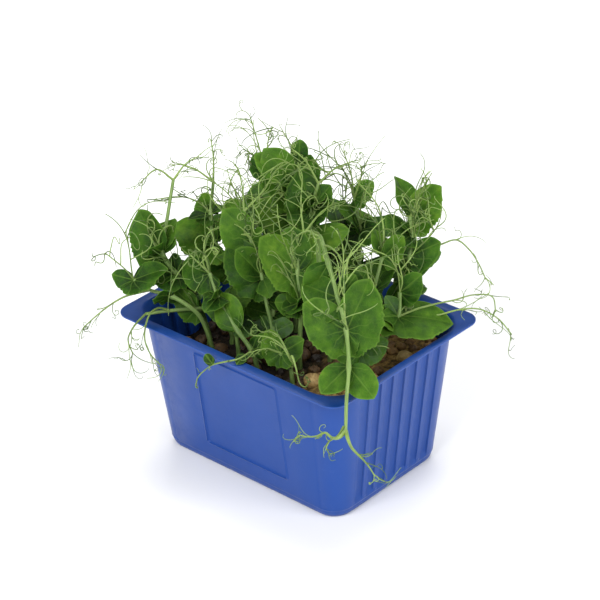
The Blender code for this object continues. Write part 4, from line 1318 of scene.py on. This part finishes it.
def add_trail(skin, points, draw, curls=1.0, front=False):
    """A leaf stalk that ends in tendrils, with more of them along its outer half. Their lengths are
    multiplied by curls. The front shoot's stalks are thicker, and lie over its lowest leaves."""
    path = smooth_path(points, TRAIL_RINGS)
    if front:
        hump = np.sin(np.pi * np.clip(np.linspace(0, 2.8, len(path)), 0, 1)) ** 2
        path = path + np.outer(hump, FRONT_BOW)
    taper = np.linspace(1, 0, len(path)) ** 1.5
    girth = FRONT_GIRTH if front else TRAIL_GIRTH
    radii = TENDRIL_RADIUS * (0.6 + (girth - 0.6) * taper)
    add_tube(skin, path, radii, TRAIL_SIDES, TENDRIL_KIND, draw.uniform(0.4, 0.9))
    curled = min(max(run_along(path)[-1], LEAST_CURLED), MOST_CURLED)
    for share in CURL_PLACES:
        knot = min(int(share * (len(path) - 1)), len(path) - 2)
        heading = astray(path, knot, 0.7, draw)
        length = curls * draw.uniform(0.35, 0.9) * curled
        add_tendril(skin, path[knot], heading, length, CURL_RADIUS, draw, draw.randrange(2))


def add_crown(skin, shoot, draw):
    """The petioles at the shoot's upper nodes, whose ends are all tendrils."""
    for knot in sorted({leaf[0] for leaf in shoot.leaves}):
        start = metres(shoot.stem[knot])
        high = start[2] > CROWN_LEVEL
        if not high and draw.random() < 0.6:
            continue
        outward = unit((start[0], start[1], 0.04))
        for _ in range(2 if high else 1):
            heading = unit(0.7 * outward + np.array([0, 0, 1.3]) + 0.7 * random_direction(draw))
            length = draw.uniform(*(HIGH_CROWN if high else LOW_CROWN))
            add_tendril(skin, start, heading, length, CROWN_RADIUS, draw, 4 if high else 2)


def grow_young_leaves(grown):
    """Gives the shoots behind the front one more small leaves, wherever there is room for them."""
    crowd = Crowd()
    for number, (shoot, leaves, trails) in enumerate(grown):
        stem = smooth_path(stem_points(shoot), STEM_SAMPLES)
        for points in (stem, *trails, *map(blade_samples, leaves)):
            crowd.add(points, number)
    for number, (shoot, leaves, _) in enumerate(grown):
        if shoot.name == "shoot_front":
            continue
        draw = random.Random(f"{shoot.name} young {SEED}")
        for _ in range(YOUNG_LEAVES):
            start = metres(draw.choice(shoot.stem[:-1]))
            if start[2] < YOUNG_FROM:
                continue
            reach = draw.uniform(*YOUNG_REACH) * unit(random_direction(draw) + YOUNG_LEAN)
            tries = loosened_leaves(draw.choice((STIPULE, LEAFLET)), start, reach, draw)
            found = first_with_room(crowd, number, tries)
            leaves.extend(leaf for leaf in found if has_space(blade_samples(leaf)))


# Small stalks that the solids leave out: a few at the front shoot's arch and tip, one that hangs over
# the rim, and some just behind it. Each shoot has its stalks as (how long their curls are, the
# points they pass), and then its leaflets as (foot, reach). Points and reaches are in millimetres.
EXTRAS = {
    "shoot_front": (
        (
            (0.6, ((25, -10, 136), (26, -15, 140), (30, -20, 143), (35, -23, 141), (37, -23, 137))),
            (0.65, ((33, -15, 133), (37, -18, 137), (43, -20, 138), (47, -19, 134), (48, -21, 130))),
            (0.55, ((28, -12, 136), (22, -14, 138), (18, -18, 135), (17, -21, 130), (19, -22, 127))),
            (0.45, ((79, -56, 73), (78, -59, 69), (75, -62, 66), (73, -62, 62), (74, -61, 58))),
        ),
        (),
    ),
    "shoot_fork": (
        (
            (
                0.3,
                (
                    (-1, -32, 72), (4, -38, 77), (9, -43, 80.6), (9.5, -48, 80.6), (8.7, -52, 80.2),
                    (6.5, -55.3, 80), (3.5, -57.2, 79), (-0.3, -57.8, 77), (-4.5, -58, 74),
                    (-11.7, -58.5, 66), (-14.6, -58, 60),
                ),
            ),
        ),
        (((-2, -57.8, 76), (-5.2, -0.3, 3.6)), ((9, -47, 80.6), (1, -6.5, -0.6))),
    ),
    "shoot_low_front": (
        (
            (
                0.55,
                (
                    (27, -35, 74), (33, -39, 80), (33, -42, 86), (28, -42, 91), (20, -42, 92),
                    (9, -42, 89),
                ),
            ),
            (
                0.45,
                (
                    (33, -41, 84), (36, -43, 88), (40, -45, 84), (43, -46, 77.5), (47, -46.5, 77),
                    (49, -46, 80.5),
                ),
            ),
            (0.5, ((33, -41, 84), (31, -42, 90), (26, -41, 94), (20, -40, 94), (14, -40, 91.5))),
        ),
        (),
    ),
}


def add_extras(skin, shoot, draw):
    stalks, leaves = EXTRAS.get(shoot.name, ((), ()))
    for curls, points in stalks:
        add_trail(skin, metres(points), draw, curls)
    for start, reach in map(metres, leaves):
        leaf = leaf_frame(LEAFLET, start, reach, facing_of(start, reach), draw, 0.0)
        add_leaf(skin, leaf, draw)


def dress_shoot(shoot, leaves, trails, materials):
    draw = random.Random(f"{shoot.name}{SEED}")
    skin = Skin()
    add_stem(skin, shoot, draw)
    for leaf in leaves:
        add_leaf(skin, leaf, draw)
    for trail in trails:
        add_trail(skin, trail, draw, front=shoot.name == "shoot_front")
    add_crown(skin, shoot, draw)
    add_extras(skin, shoot, draw)
    dressed = skin.to_object(shoot.name.replace("shoot", "grown"), materials, 45)
    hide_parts(shoot.name)


# ---- The studio ----


AZIMUTH = math.radians(42.77)
ELEVATION = math.radians(29.81)
ROLL = 0.03545
DISTANCE = 1.1792
LENS = 144.0
AIM_RIGHT = 0.00183
AIM_UP = 0.0863
WORLD_STRENGTH = 0.30
FLOOR_REACH = 4.0


def place_camera():
    right = Vector((math.cos(AZIMUTH), math.sin(AZIMUTH), 0))
    flat = math.cos(ELEVATION)
    back = Vector((math.sin(AZIMUTH) * flat, -math.cos(AZIMUTH) * flat, math.sin(ELEVATION)))
    aim = AIM_RIGHT * right + Vector((0, 0, AIM_UP))
    camera = placed("camera", bpy.data.cameras.new("camera"))
    camera.data.lens = LENS
    camera.data.clip_start = 0.01
    camera.location = aim + DISTANCE * back
    level = (aim - camera.location).to_track_quat("-Z", "Y")
    camera.rotation_euler = (level @ Quaternion((0, 0, 1), -ROLL)).to_euler()
    bpy.context.scene.camera = camera


def add_area_light(name, place, target, size, power):
    light = bpy.data.lights.new(name, "AREA")
    light.size = size
    light.energy = power
    made = placed(name, light)
    made.location = place
    made.rotation_euler = (Vector(target) - Vector(place)).to_track_quat("-Z", "Y").to_euler()


def light_studio():
    world = bpy.data.worlds.new("studio")
    bpy.context.scene.world = world
    world.use_nodes = True
    sky = world.node_tree.nodes["Background"].inputs
    sky["Color"].default_value = (1.0, 1.0, 1.0, 1.0)
    sky["Strength"].default_value = WORLD_STRENGTH
    add_area_light("key", (0.15, -1.5, 1.2), (0, 0, 0.08), 1.0, 30.0)
    add_area_light("fill", (1.5, 0.1, 0.8), (0, 0, 0.08), 1.1, 20.0)
    add_area_light("overhead", (-0.6, 0.9, 2.2), (-0.5, 0.7, 0), 1.6, 42.0)
    bpy.context.scene.view_settings.view_transform = "Standard"


def lay_floor():
    data = bpy.data.meshes.new("floor")
    corners = [(x * FLOOR_REACH, y * FLOOR_REACH, 0) for x, y in ((-1, -1), (1, -1), (1, 1), (-1, 1))]
    data.from_pydata(corners, [], [(0, 1, 2, 3)])
    data.materials.append(floor_material())
    floor = placed("floor", data)


def main():
    place_camera()
    light_studio()
    lay_floor()
    dress_tray()
    dress_medium()
    dress_peas()
    stems = stalk_material("pea_stem", STEM_GREENS)
    foliage = [leaf_material(), stems, stalk_material("pea_tendril", TENDRIL_GREENS)]
    grown = grow_all()
    grow_young_leaves(grown)
    for shoot, leaves, trails in grown:
        dress_shoot(shoot, leaves, trails, foliage)


main()
